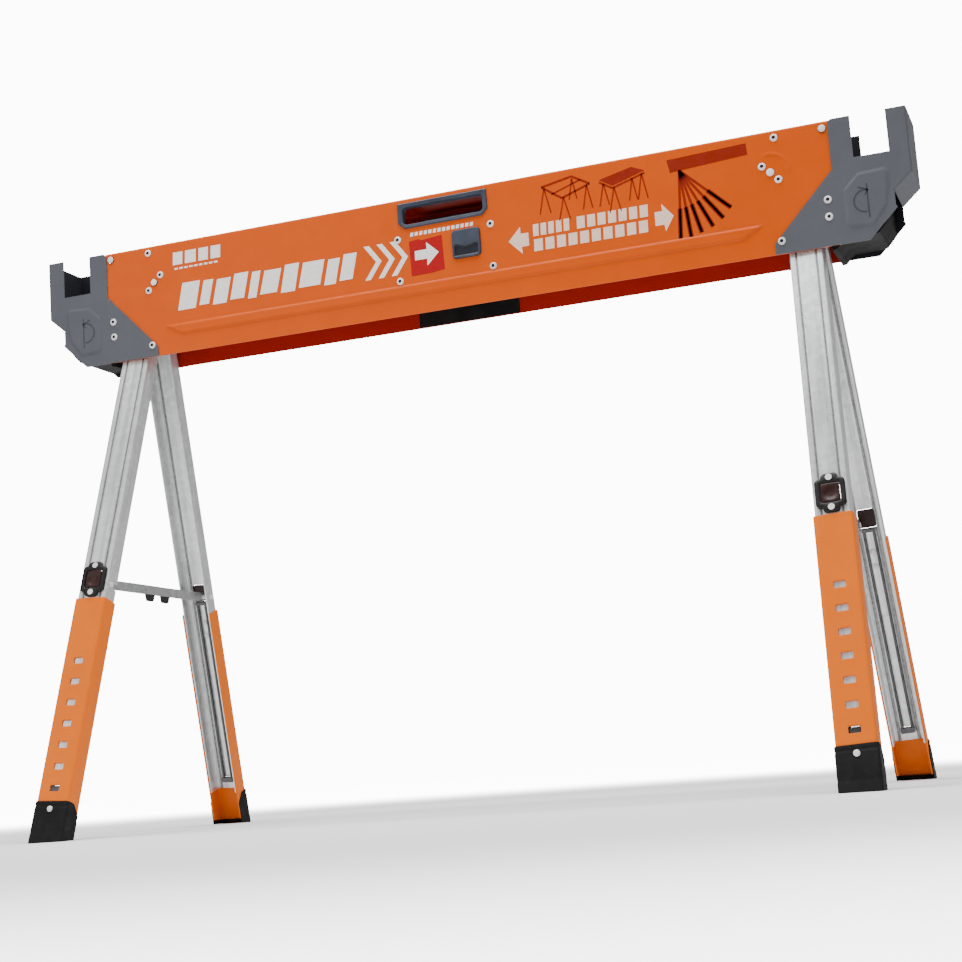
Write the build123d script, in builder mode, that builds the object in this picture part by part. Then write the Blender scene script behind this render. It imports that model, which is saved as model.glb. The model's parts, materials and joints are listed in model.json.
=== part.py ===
from build123d import *
import os
from math import cos, radians, sin, tan

# Folding sawhorse: a folded sheet-steel beam with a pair of splayed, telescoping legs at each end.
# Millimetres, +Z up, +X along the beam, front face towards -Y.  The origin is on the floor, under
# the middle of the beam.  The model stands open, with the legs at their shortest setting.
os.makedirs("parts", exist_ok=True)

# ---------------------------------------------------------------- driving dimensions
TOP = 762.0                    # working height at the lowest leg setting (30 in)
ENDS = {"left": -1, "right": 1}
SIDES = {"front": -1, "rear": 1}

# beam: an inverted U of sheet steel, two side sheets and a top strip
BEAM_LEN = 967.0
BEAM_W = 75.0
BEAM_H = 150.0
BEAM_T = 1.3
HALF_W = BEAM_W / 2
INNER_W = HALF_W - BEAM_T
RIB_LEN = 794.0
RIB_H = 15.0
RIB_DEPTH = 118.0              # rib centre line, below the beam top
RIB_PROUD = 1.2

# end bracket: grey sheet steel, with a notch that takes a 38 mm board on edge
PLATE_T = 1.5
END_X = 571.5                  # half the overall length
NOTCH_IN = 507.4
NOTCH_OUT = 548.1
NOTCH_DEPTH = 50.3
UPSTAND_IN = 485.0             # inner edge of the bracket, just outside the beam's end
CHEEK_IN = 408.4               # inner tip of the bracket along the beam's lower edge

# leg swing pins (both ends at the same x; the right pair hangs lower so that the pairs stack)
SWING_X = 410.9
SWING_DEPTH = {"left": 50.4, "right": 98.5}
SWING_R = 4.5
RUN_GAP = 0.06                 # radial running clearance of a pin in its bore
LEAN = 2.9                     # legs lean outward along the beam, degrees
SPLAY = 17.6                   # legs splay to front and rear, degrees
LINE_X = 470.0                 # the leg's centre line is at this x ...
LINE_Z = 59.0                  # ... at this height
FACE_OUT = 34.3                # outer face of the upper leg at the beam's lower edge, from the middle
SPLAY_Y = {"left": 4.5, "right": 14.0}   # splay hinge axes, from the middle
NEST = {"left": 3.5, "right": 0.0}       # sideways shift that lets folded channels nest

# leg channels; n is measured outward from the splay hinge axis, u up along the leg
FACE_N = 9.5                   # outer face of the upper channel
UP_W = 39.2
UP_D = 22.0
UP_T = 1.6
SLIDE_GAP = 0.3
LOW_W = 43.2
LOW_D = 24.9
LOW_T = 1.7
HOLE_PITCH = 26.6
HOLES = 7
HOLE_W = 13.0
HOLE_H = 8.0
HOLE7_Z = 59.0                 # height of the lowest hole
SLEEVE_ABOVE = 82.0            # sleeve top above the highest hole
LATCH_ABOVE = 107.0            # middle of the latch above the highest hole
BRACE_ABOVE = 103.0            # brace pin above the highest hole
UP_TOP = 7.0                   # upper channel above the splay hinge
UP_BELOW = 13.0                # upper channel below the lowest hole

# rubber boots
BOOT_T = 1.4
BOOT_LEN = 46.0
BOOT_PAD = 6.0

# splay hinge pins and brace
SPLAY_R = 3.5
BRACE_T = 3.0
BRACE_H = 12.0
BRACE_PIN_R = 3.0
FLANGE_TRIM_N = -4.5           # edge of the narrowed flanges beside the yoke
BRACE_N = {"left": 0.3, "right": -4.0}   # brace pin axis, along n from the splay hinge

# ---------------------------------------------------------------- derived frames
def at_depth(depth):
    """Height of a point that lies this far below the beam's top."""
    return TOP - depth


def swing_plane(end):
    """Frame of a yoke: origin on its swing pin, local z up the leaning leg line."""
    s = ENDS[end]
    a = radians(LEAN)
    origin = (s * SWING_X, 0, at_depth(SWING_DEPTH[end]))
    return Plane(origin=origin, x_dir=(cos(a), 0, s * sin(a)), z_dir=(-s * sin(a), 0, cos(a)))


def line_offset(end):
    """Distance from the swing pin out to the leg's centre line."""
    x_line = LINE_X + (LINE_Z - at_depth(SWING_DEPTH[end])) * tan(radians(LEAN))
    return (x_line - SWING_X) * cos(radians(LEAN))


def hinge_drop(end):
    """Distance from the swing pin down to the splay hinges, along the leg line."""
    b = radians(SPLAY)
    bottom = TOP - BEAM_H
    z_hinge = bottom + (FACE_OUT - SPLAY_Y[end] - FACE_N / cos(b)) / tan(b)
    return (at_depth(SWING_DEPTH[end]) - z_hinge) / cos(radians(LEAN))


def leg_plane(end, side):
    """Frame of a leg: origin on its splay hinge, local z up the leg, local y towards +Y."""
    s = ENDS[end]
    f = SIDES[side]
    yoke = swing_plane(end)
    across = s * line_offset(end) + f * NEST[end]
    origin = yoke.origin + yoke.x_dir * across - yoke.z_dir * hinge_drop(end)
    origin = origin + Vector(0, f * SPLAY_Y[end], 0)
    b = radians(SPLAY)
    up = yoke.z_dir * cos(b) - Vector(0, 1, 0) * (f * sin(b))
    return Plane(origin=origin, x_dir=yoke.x_dir, z_dir=up)


def web_plane(leg, f, n):
    """Plane parallel to the leg's web, n outward from the hinge; local y up, normal outward."""
    return Plane(origin=leg.origin + leg.y_dir * (f * n), x_dir=leg.x_dir * (-f), z_dir=leg.y_dir * f)


def side_plane(leg, x):
    """Plane across the beam's length; local x towards +Y, local y up the leg, normal along +x."""
    return Plane(origin=leg.origin + leg.x_dir * x, x_dir=leg.y_dir, z_dir=leg.x_dir)


def hole7_u(leg):
    """Position of the lowest height hole along the leg."""
    return (HOLE7_Z - leg.origin.Z) / leg.z_dir.Z


def face_plane(y):
    """Upright plane with its normal towards the front; local x is X and local y is Z."""
    return Plane.XZ.offset(-y)


# ---------------------------------------------------------------- beam: two side sheets welded to a top strip
HANDLE_HALF = 56.0
HANDLE_TOP = 8.0
HANDLE_BOTTOM = 36.0
HANDLE_MID = (HANDLE_TOP + HANDLE_BOTTOM) / 2
BUTTON_X = 29.0
BUTTON_DEPTH = 71.0
BUTTON_W = 37.0
BUTTON_H = 36.0
HOUSING_RIVET_X = 62.0
HOUSING_RIVET_DEPTHS = (52.0, 105.5)

with BuildPart() as beam_top:
    with BuildSketch(Plane.YZ.offset(-BEAM_LEN / 2)):
        with Locations((0, TOP - BEAM_T / 2)):
            Rectangle(BEAM_W, BEAM_T)
    extrude(amount=BEAM_LEN)
    top_edges = beam_top.edges().filter_by(Axis.X).filter_by(lambda e: e.center().Z > TOP - 0.1)
    fillet(top_edges, radius=1.2)
beam_top.part.label = "beam_top"
export_step(beam_top.part, "parts/beam_top.step")

for side, f in SIDES.items():
    with BuildPart() as beam_side:
        with BuildSketch(face_plane(f * HALF_W)):
            with Locations((0, at_depth((BEAM_T + BEAM_H) / 2))):
                Rectangle(BEAM_LEN, BEAM_H - BEAM_T)
        extrude(amount=f * BEAM_T)
        with BuildSketch(face_plane(f * HALF_W)):
            with Locations((0, at_depth(RIB_DEPTH))):
                SlotOverall(RIB_LEN, RIB_H)
        extrude(amount=-f * RIB_PROUD)
        with BuildSketch(face_plane(HALF_W + 1)):
            with Locations((0, at_depth(HANDLE_MID))):
                Rectangle(2 * HANDLE_HALF, HANDLE_BOTTOM - HANDLE_TOP)
            if side == "front":
                with Locations((BUTTON_X, at_depth(BUTTON_DEPTH))):
                    RectangleRounded(BUTTON_W + 0.8, BUTTON_H + 0.8, 5.4)
            for s in ENDS.values():
                with Locations((s * SWING_X, at_depth(SWING_DEPTH["left"])), (s * 475.0, at_depth(9.2))):
                    Circle(SWING_R + 0.05)
        extrude(amount=BEAM_W + 2, mode=Mode.SUBTRACT)
    beam_side.part.label = f"beam_{side}"
    export_step(beam_side.part, f"parts/beam_{side}.step")

# ---------------------------------------------------------------- end brackets
for end, s in ENDS.items():
    with BuildPart() as end_bracket:
        for y_in, way in ((-HALF_W, 1), (HALF_W, -1)):
            with BuildSketch(face_plane(y_in)):
                with BuildLine():
                    Polyline(
                        (s * UPSTAND_IN, at_depth(4)),
                        (s * (UPSTAND_IN + 4), TOP),
                        (s * NOTCH_IN, TOP),
                        (s * NOTCH_IN, at_depth(NOTCH_DEPTH)),
                        (s * NOTCH_OUT, at_depth(NOTCH_DEPTH)),
                        (s * NOTCH_OUT, TOP),
                        (s * END_X, TOP),
                        (s * END_X, at_depth(77.7)),
                        (s * 549.3, at_depth(97.0)),
                        (s * 549.3, at_depth(118.3)),
                        (s * 517.0, at_depth(BEAM_H)),
                        (s * CHEEK_IN, at_depth(BEAM_H)),
                        (s * CHEEK_IN, at_depth(137)),
                        (s * UPSTAND_IN, at_depth(57)),
                        close=True,
                    )
                make_face()
            extrude(amount=way * PLATE_T)
        # end web and its sloping lower run join the two plates
        with BuildSketch(face_plane(HALF_W)):
            with BuildLine():
                Polyline(
                    (s * END_X, TOP),
                    (s * END_X, at_depth(77.7)),
                    (s * 549.3, at_depth(97.0)),
                    (s * (549.3 - PLATE_T), at_depth(97.0 - 0.8)),
                    (s * (END_X - PLATE_T), at_depth(77.0)),
                    (s * (END_X - PLATE_T), TOP),
                    close=True,
                )
            make_face()
            # seat of the board notch
            with Locations((s * (NOTCH_IN + NOTCH_OUT) / 2, at_depth(NOTCH_DEPTH + PLATE_T / 2))):
                Rectangle(NOTCH_OUT - NOTCH_IN + 20, PLATE_T)
        extrude(amount=BEAM_W)
    end_bracket.part.label = f"end_bracket_{end}"
    export_step(end_bracket.part, f"parts/end_bracket_{end}.step")

# ---------------------------------------------------------------- black end caps inside the brackets
CAP_IN = 469.0
CAP_TOP = 58.0
CAP_HALF_Y = HALF_W - 0.4
for end, s in ENDS.items():
    with BuildPart() as end_cap:
        with BuildSketch(face_plane(CAP_HALF_Y)):
            with BuildLine():
                Polyline(
                    (s * UPSTAND_IN, at_depth(CAP_TOP)),
                    (s * 566.0, at_depth(CAP_TOP)),
                    (s * 566.0, at_depth(76.0)),
                    (s * 545.0, at_depth(96.0)),
                    (s * 545.0, at_depth(138.0)),
                    (s * 536.0, at_depth(149.0)),
                    (s * (UPSTAND_IN + 2), at_depth(149.0)),
                    (s * (UPSTAND_IN + 0.5), at_depth(140.0)),
                    close=True,
                )
            make_face()
            with BuildLine():
                Polyline(
                    (s * UPSTAND_IN, at_depth(145.0)),
                    (s * 538.0, at_depth(145.0)),
                    (s * 532.0, at_depth(153.0)),
                    (s * 522.0, at_depth(156.5)),
                    (s * (UPSTAND_IN + 4), at_depth(157.0)),
                    (s * (UPSTAND_IN - 4), at_depth(160.0)),
                    (s * (CAP_IN + 6), at_depth(167.0)),
                    (s * CAP_IN, at_depth(168.0)),
                    (s * CAP_IN, at_depth(152.0)),
                    (s * UPSTAND_IN, at_depth(152.0)),
                    close=True,
                )
            make_face()
        extrude(amount=2 * CAP_HALF_Y)
        # hollow moulding, open towards the beam's end
        with BuildSketch(face_plane(CAP_HALF_Y - 3)):
            with Locations((s * 512.0, at_depth(103.0))):
                Rectangle(50, 74)
        extrude(amount=2 * CAP_HALF_Y - 6, mode=Mode.SUBTRACT)
    end_cap.part.label = f"end_cap_{end}"
    export_step(end_cap.part, f"parts/end_cap_{end}.step")

# ---------------------------------------------------------------- hinge brackets inside the beam
CHEEK_T = 2.0
HINGE_X0 = 396.0
HINGE_X1 = 466.0
HINGE_TOP = BEAM_T + 0.1
HINGE_BOTTOM = 116.0
HINGE_OUT = INNER_W - 0.05
for end, s in ENDS.items():
    with BuildPart() as hinge_bracket:
        with BuildSketch(Plane.YZ.offset(s * HINGE_X0)):
            with Locations((0, at_depth((HINGE_TOP + HINGE_BOTTOM) / 2))):
                Rectangle(2 * HINGE_OUT, HINGE_BOTTOM - HINGE_TOP)
            with Locations((0, at_depth((HINGE_TOP + HINGE_BOTTOM) / 2 + CHEEK_T))):
                Rectangle(2 * (HINGE_OUT - CHEEK_T), HINGE_BOTTOM - HINGE_TOP, mode=Mode.SUBTRACT)
        extrude(amount=s * (HINGE_X1 - HINGE_X0))
        with BuildSketch(face_plane(HALF_W)):
            with Locations(
                (s * SWING_X, at_depth(SWING_DEPTH["left"])),
                (s * SWING_X, at_depth(SWING_DEPTH[end])),
            ):
                Circle(SWING_R + 0.05)
        extrude(amount=BEAM_W, mode=Mode.SUBTRACT)
    hinge_bracket.part.label = f"hinge_bracket_{end}"
    export_step(hinge_bracket.part, f"parts/hinge_bracket_{end}.step")

# ---------------------------------------------------------------- swing pins
PIN_PROUD = 1.2
pin_half = {"left": HALF_W + PIN_PROUD, "right": HINGE_OUT}
for end, s in ENDS.items():
    with BuildPart() as swing_pin:
        with BuildSketch(face_plane(pin_half[end])):
            with Locations((s * SWING_X, at_depth(SWING_DEPTH[end]))):
                Circle(SWING_R)
        extrude(amount=2 * pin_half[end])
    swing_pin.part.label = f"swing_pin_{end}"
    export_step(swing_pin.part, f"parts/swing_pin_{end}.step")

# ---------------------------------------------------------------- short studs and corner pins
with BuildPart() as hinge_studs:
    for y_in, way in ((-(HINGE_OUT - CHEEK_T), 1), (HINGE_OUT - CHEEK_T, -1)):
        with BuildSketch(face_plane(y_in)):
            with Locations((SWING_X, at_depth(SWING_DEPTH["left"]))):
                Circle(SWING_R)
        extrude(amount=way * (HALF_W + PIN_PROUD - HINGE_OUT + CHEEK_T))
hinge_studs.part.label = "hinge_studs"
export_step(hinge_studs.part, "parts/hinge_studs.step")

CORNER_PIN = (475.0, 9.2)
with BuildPart() as corner_pins:
    with BuildSketch(face_plane(HALF_W + PIN_PROUD)):
        with Locations(
            (-CORNER_PIN[0], at_depth(CORNER_PIN[1])),
            (CORNER_PIN[0], at_depth(CORNER_PIN[1])),
        ):
            Circle(SWING_R)
    extrude(amount=2 * (HALF_W + PIN_PROUD))
corner_pins.part.label = "corner_pins"
export_step(corner_pins.part, "parts/corner_pins.step")

# ---------------------------------------------------------------- pop rivets of the beam
RIVET_HEAD_R = 4.6
RIVET_HEAD_H = 1.5
PANEL_RIVETS = ((418.6, 9.4), (401.6, 41.6), (419.5, 60.3))
BRACKET_RIVETS = ((473.8, 95.0), (473.4, 115.3), (416.6, 134.7))
with BuildPart() as panel_rivets:
    for y_out, way in ((-HALF_W, 1), (HALF_W, -1)):
        with BuildSketch(face_plane(y_out)):
            for s in ENDS.values():
                for x, depth in PANEL_RIVETS:
                    with Locations((s * x, at_depth(depth))):
                        Circle(RIVET_HEAD_R)
        extrude(amount=way * RIVET_HEAD_H)
panel_rivets.part.label = "panel_rivets"
export_step(panel_rivets.part, "parts/panel_rivets.step")

with BuildPart() as bracket_rivets:
    for y_out, way in ((-HALF_W - PLATE_T, 1), (HALF_W + PLATE_T, -1)):
        with BuildSketch(face_plane(y_out)):
            for s in ENDS.values():
                for x, depth in BRACKET_RIVETS:
                    with Locations((s * x, at_depth(depth))):
                        Circle(RIVET_HEAD_R)
        extrude(amount=way * RIVET_HEAD_H)
bracket_rivets.part.label = "bracket_rivets"
export_step(bracket_rivets.part, "parts/bracket_rivets.step")

with BuildPart() as housing_rivets:
    for y_out, way in ((-HALF_W, 1), (HALF_W, -1)):
        with BuildSketch(face_plane(y_out)):
            for s in ENDS.values():
                for depth in HOUSING_RIVET_DEPTHS:
                    with Locations((s * HOUSING_RIVET_X, at_depth(depth))):
                        Circle(RIVET_HEAD_R)
        extrude(amount=way * RIVET_HEAD_H)
housing_rivets.part.label = "housing_rivets"
export_step(housing_rivets.part, "parts/housing_rivets.step")

# ---------------------------------------------------------------- handle bezels
BEZEL_HALF = 60.0
BEZEL_TOP = 6.0
BEZEL_BOTTOM = 39.6
BEZEL_T = 2.0
BEZEL_WALL = 2.0
BEZEL_REACH = 9.0              # the bezel's collar, inward from the panel's face
SLEEVE_HALF = HANDLE_HALF - 0.4
SLEEVE_TOP = HANDLE_TOP + 0.4
SLEEVE_BOTTOM = HANDLE_BOTTOM - 0.4
SLEEVE_MID = (SLEEVE_TOP + SLEEVE_BOTTOM) / 2
for side, f in SIDES.items():
    with BuildPart() as handle_bezel:
        with BuildSketch(face_plane(f * HALF_W)):
            with BuildLine():
                Polyline(
                    (-BEZEL_HALF, at_depth(BEZEL_TOP)),
                    (BEZEL_HALF, at_depth(BEZEL_TOP)),
                    (BEZEL_HALF, at_depth(BEZEL_BOTTOM - 8)),
                    (BEZEL_HALF - 8, at_depth(BEZEL_BOTTOM)),
                    (-BEZEL_HALF + 8, at_depth(BEZEL_BOTTOM)),
                    (-BEZEL_HALF, at_depth(BEZEL_BOTTOM - 8)),
                    close=True,
                )
            make_face()
        extrude(amount=-f * BEZEL_T)
        with BuildSketch(face_plane(f * (HALF_W - BEZEL_REACH))):
            with Locations((0, at_depth(SLEEVE_MID))):
                Rectangle(2 * SLEEVE_HALF, SLEEVE_BOTTOM - SLEEVE_TOP)
        extrude(amount=-f * BEZEL_REACH)
        with BuildSketch(face_plane(0)):
            with Locations((0, at_depth(SLEEVE_MID))):
                RectangleRounded(
                    2 * (SLEEVE_HALF - BEZEL_WALL), SLEEVE_BOTTOM - SLEEVE_TOP - 2 * BEZEL_WALL, 6
                )
        extrude(amount=-f * (HALF_W + 5), mode=Mode.SUBTRACT)
    handle_bezel.part.label = f"handle_bezel_{side}"
    export_step(handle_bezel.part, f"parts/handle_bezel_{side}.step")

# ---------------------------------------------------------------- release housing, button, latch
HOUSING_HALF = 68.0
BRIDGE_TOP = 37.0
BRIDGE_BOTTOM = 48.5
HOUSING_BOTTOM = 113.0
HOUSING_T = 4.8
SKIRT_T = 0.8                  # thin lower skirts, clear of the folding legs
SKIRT_BOTTOM = 149.0
HOUSING_OUT = INNER_W - 0.1
POCKET = (44.0, 5.0)           # slot for the fold latch in the bridge: width along x and along y
with BuildPart() as release_housing:
    with BuildSketch(Plane.YZ.offset(-HOUSING_HALF)):
        with Locations((0, at_depth((BRIDGE_TOP + BRIDGE_BOTTOM) / 2))):
            Rectangle(2 * HOUSING_OUT, BRIDGE_BOTTOM - BRIDGE_TOP)
    extrude(amount=2 * HOUSING_HALF)
    with BuildSketch(Plane.XY.offset(at_depth(BRIDGE_TOP + 2))):
        with Locations((BUTTON_X, 0)):
            Rectangle(POCKET[0], POCKET[1])
    extrude(amount=-20, mode=Mode.SUBTRACT)
release_housing.part.label = "release_housing"
export_step(release_housing.part, "parts/release_housing.step")

with BuildPart() as housing_cheeks:
    for side, f in SIDES.items():
        with BuildSketch(face_plane(f * HOUSING_OUT)):
            with Locations((0, at_depth((BRIDGE_BOTTOM + HOUSING_BOTTOM) / 2))):
                Rectangle(2 * HOUSING_HALF, HOUSING_BOTTOM - BRIDGE_BOTTOM)
            if side == "front":
                with Locations((BUTTON_X, at_depth(BUTTON_DEPTH))):
                    RectangleRounded(BUTTON_W + 0.8, BUTTON_H + 0.8, 5.4, mode=Mode.SUBTRACT)
        extrude(amount=f * HOUSING_T)
housing_cheeks.part.label = "housing_cheeks"
export_step(housing_cheeks.part, "parts/housing_cheeks.step")

with BuildPart() as housing_skirts:
    for f in SIDES.values():
        with BuildSketch(face_plane(f * HOUSING_OUT)):
            with Locations((0, at_depth((HOUSING_BOTTOM + SKIRT_BOTTOM) / 2))):
                Rectangle(2 * HOUSING_HALF, SKIRT_BOTTOM - HOUSING_BOTTOM)
        extrude(amount=f * SKIRT_T)
housing_skirts.part.label = "housing_skirts"
export_step(housing_skirts.part, "parts/housing_skirts.step")

BUTTON_OUT = HALF_W + 2.6
BUTTON_IN = 34.8
with BuildPart() as release_button:
    with BuildSketch(face_plane(-BUTTON_IN)):
        with Locations((BUTTON_X, at_depth(BUTTON_DEPTH))):
            RectangleRounded(BUTTON_W, BUTTON_H, 5)
    extrude(amount=BUTTON_OUT - BUTTON_IN)
    with BuildSketch(face_plane(-BUTTON_OUT + 1.6)):
        with Locations((BUTTON_X, at_depth(BUTTON_DEPTH + 8.5))):
            RectangleRounded(BUTTON_W - 9, 12, 3)
    extrude(amount=4, mode=Mode.SUBTRACT)
release_button.part.label = "release_button"
export_step(release_button.part, "parts/release_button.step")

with BuildPart() as release_spring:
    with BuildSketch(face_plane(-(HOUSING_OUT - HOUSING_T) + 0.5)):
        with Locations((BUTTON_X, at_depth(BUTTON_DEPTH))):
            Rectangle(BUTTON_W + 14, 10)
            Rectangle(10, BUTTON_H + 6)
    extrude(amount=0.5)
release_spring.part.label = "release_spring"
export_step(release_spring.part, "parts/release_spring.step")

with BuildPart() as fold_latch:
    with BuildSketch(Plane.XY.offset(at_depth(BRIDGE_TOP + 6.2))):
        with Locations((BUTTON_X, 0)):
            Rectangle(POCKET[0] - 0.8, POCKET[1] - 0.8)
    extrude(amount=-(BRIDGE_BOTTOM - BRIDGE_TOP - 6.0))
fold_latch.part.label = "fold_latch"
export_step(fold_latch.part, "parts/fold_latch.step")

# ---------------------------------------------------------------- yokes and splay pins
HUB_R = 9.0
HUB_HALF = HINGE_OUT - CHEEK_T - 0.3
YOKE_HALF_X = 13.0
KNUCKLE_R = 6.6
ARM_LOW = 7.0                  # lower edge of the yoke's arm, below the swing pin
for end, s in ENDS.items():
    plane = swing_plane(end)
    offset_x = s * line_offset(end)
    drop = hinge_drop(end)
    post_half_y = SPLAY_Y[end] + 2.5
    across = Plane(origin=plane.origin, x_dir=plane.x_dir, z_dir=(0, -1, 0))
    with BuildPart() as yoke:
        with BuildSketch(across.offset(-HUB_HALF)):
            Circle(HUB_R)
        extrude(amount=2 * HUB_HALF)
        with BuildSketch(across.offset(-post_half_y)):
            with BuildLine():
                Polyline(
                    (0, HUB_R - 1),
                    (offset_x + s * YOKE_HALF_X, HUB_R - 1),
                    (offset_x + s * YOKE_HALF_X, -drop),
                    (offset_x - s * YOKE_HALF_X, -drop),
                    (offset_x - s * YOKE_HALF_X, -ARM_LOW),
                    (0, -ARM_LOW),
                    close=True,
                )
            make_face()
        extrude(amount=2 * post_half_y)
        pins = plane.origin + plane.x_dir * (offset_x - YOKE_HALF_X) - plane.z_dir * drop
        knuckles = Plane(origin=pins, x_dir=(0, 1, 0), z_dir=plane.x_dir)
        for radius, mode in ((KNUCKLE_R, Mode.ADD), (SPLAY_R, Mode.SUBTRACT)):
            with BuildSketch(knuckles):
                with Locations((-SPLAY_Y[end], 0), (SPLAY_Y[end], 0)):
                    Circle(radius)
            extrude(amount=2 * YOKE_HALF_X, mode=mode)
        with BuildSketch(across.offset(-HUB_HALF)):
            Circle(SWING_R + RUN_GAP)
        extrude(amount=2 * HUB_HALF, mode=Mode.SUBTRACT)
    yoke.part.label = f"yoke_{end}"
    export_step(yoke.part, f"parts/yoke_{end}.step")

    with BuildPart() as splay_pins:
        for side in SIDES:
            leg = leg_plane(end, side)
            pin_plane = side_plane(leg, -(UP_W / 2 + 1))
            with BuildSketch(pin_plane):
                Circle(SPLAY_R)
            extrude(amount=UP_W + 2)
    splay_pins.part.label = f"splay_pins_{end}"
    export_step(splay_pins.part, f"parts/splay_pins_{end}.step")

# ---------------------------------------------------------------- legs
LOW_FACE_N = FACE_N + SLIDE_GAP + LOW_T
BOOT_FACE_N = LOW_FACE_N + BOOT_T
BOOT_D = LOW_D + BOOT_T
PLUG_W = 22.0
PLUG_D = 14.5
PAD_D = 5.2
LATCH_W = 33.0
LATCH_H = 46.0
LATCH_T = 3.8
WINDOW_W = 22.0
WINDOW_H = 24.0
LEVER_T = 2.4
LEVER_LIFT = 0.6               # lever's inner face above the web
ROD_R = 1.7
ROD_N = FACE_N - UP_T - 2.4
ROD_HALF = 6.0
ROD_BELOW = 16.0               # top of the wire rod, below the middle of the latch
CATCH_W = HOLE_W - 2.4
CATCH_H = HOLE_H - 1.6
CATCH_BACK = 2.0               # catch shoulder, outward of the rods' middle
BAR_IN = {"front": 10.8, "rear": 7.2}     # inner face of each brace bar, from the leg-line middle
GRIP_DROP = 9.0
PIN_RELIEF = 6.7               # depth of the relief for the nested leg's brace pin

for end, s in ENDS.items():
    for side, f in SIDES.items():
        name = f"{side}_{end}"
        leg = leg_plane(end, side)
        u7 = hole7_u(leg)
        u1 = u7 + (HOLES - 1) * HOLE_PITCH
        latch_u = u1 + LATCH_ABOVE
        brace_u = u1 + BRACE_ABOVE
        up_bottom = u7 - UP_BELOW
        inboard = -s

        # upper leg: zinc-plated channel, open towards the other leg of the pair
        with BuildPart() as upper_leg:
            with BuildSketch(leg.offset(up_bottom)):
                with Locations((0, f * (FACE_N - UP_D / 2))):
                    Rectangle(UP_W, UP_D)
                with Locations((0, f * (FACE_N - UP_T - UP_D / 2))):
                    Rectangle(UP_W - 2 * UP_T, UP_D, mode=Mode.SUBTRACT)
            extrude(amount=UP_TOP - up_bottom)
            # narrower flanges beside the yoke
            with BuildSketch(side_plane(leg, -UP_W)):
                with Locations((f * (FLANGE_TRIM_N - 10), 0)):
                    Rectangle(20, 36)
            extrude(amount=2 * UP_W, mode=Mode.SUBTRACT)
            with BuildSketch(side_plane(leg, -UP_W)):
                Circle(SPLAY_R + RUN_GAP)
            extrude(amount=2 * UP_W, mode=Mode.SUBTRACT)
            # lever window, catch hole and brace pin hole
            with BuildSketch(web_plane(leg, f, FACE_N - UP_T - 1)):
                with Locations((0, latch_u)):
                    RectangleRounded(WINDOW_W, WINDOW_H, 3)
                with Locations((0, u7)):
                    Rectangle(HOLE_W, HOLE_H)
            extrude(amount=UP_T + 2, mode=Mode.SUBTRACT)
            with BuildSketch(side_plane(leg, 0)):
                with Locations((f * BRACE_N[end], brace_u)):
                    Circle(BRACE_PIN_R)
            extrude(amount=inboard * UP_W, mode=Mode.SUBTRACT)
            if NEST[end] and side == "front":
                # relief in the inboard flange for the other leg's brace pin, when the pair is folded
                with BuildSketch(side_plane(leg, 0)):
                    with Locations((f * (FACE_N - UP_D), brace_u)):
                        Rectangle(2 * PIN_RELIEF, PIN_RELIEF + 1.5)
                extrude(amount=inboard * UP_W, mode=Mode.SUBTRACT)
        upper_leg.part.label = f"upper_leg_{name}"
        export_step(upper_leg.part, f"parts/upper_leg_{name}.step")

        # height sleeve: orange channel with seven height holes
        with BuildPart() as sleeve:
            with BuildSketch(leg.offset(u1 + SLEEVE_ABOVE)):
                with Locations((0, f * (LOW_FACE_N - LOW_D / 2))):
                    Rectangle(LOW_W, LOW_D)
                with Locations((0, f * (LOW_FACE_N - LOW_T - LOW_D / 2))):
                    Rectangle(LOW_W - 2 * LOW_T, LOW_D, mode=Mode.SUBTRACT)
            extrude(amount=-(HOLES - 1) * HOLE_PITCH - SLEEVE_ABOVE - 80)
            with BuildSketch(web_plane(leg, f, LOW_FACE_N - LOW_T - 1)):
                for hole in range(HOLES):
                    with Locations((0, u1 - hole * HOLE_PITCH)):
                        RectangleRounded(HOLE_W, HOLE_H, 1)
            extrude(amount=LOW_T + 2, mode=Mode.SUBTRACT)
            split(bisect_by=Plane.XY.offset(BOOT_PAD), keep=Keep.TOP)
        sleeve.part.label = f"sleeve_{name}"
        export_step(sleeve.part, f"parts/sleeve_{name}.step")

        # rubber boot, cut level with the floor
        u_floor = (0 - leg.origin.Z) / leg.z_dir.Z
        with BuildPart() as boot:
            with BuildSketch(leg.offset(u_floor + BOOT_LEN)):
                with Locations((0, f * (BOOT_FACE_N - BOOT_D / 2))):
                    Rectangle(LOW_W + 2 * BOOT_T, BOOT_D)
                with Locations((0, f * (BOOT_FACE_N - BOOT_T - BOOT_D / 2))):
                    Rectangle(LOW_W, BOOT_D, mode=Mode.SUBTRACT)
            extrude(amount=-BOOT_LEN - 30)
            # floor pad: under the sleeve's own section, with a plug that reaches up between its flanges
            with BuildSketch(leg.offset(u_floor + 16)):
                with Locations((0, f * (LOW_FACE_N - PLUG_D / 2))):
                    Rectangle(PLUG_W, PLUG_D)
                with Locations((0, f * (LOW_FACE_N - PAD_D / 2))):
                    Rectangle(LOW_W, PAD_D)
            extrude(amount=-46)
            with BuildSketch(leg.offset(u_floor - 30)):
                with Locations((0, f * (LOW_FACE_N - LOW_D / 2))):
                    Rectangle(LOW_W, LOW_D)
                with Locations((0, f * (LOW_FACE_N - LOW_T - LOW_D / 2))):
                    Rectangle(LOW_W - 2 * LOW_T, LOW_D, mode=Mode.SUBTRACT)
            extrude(amount=46)
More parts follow.
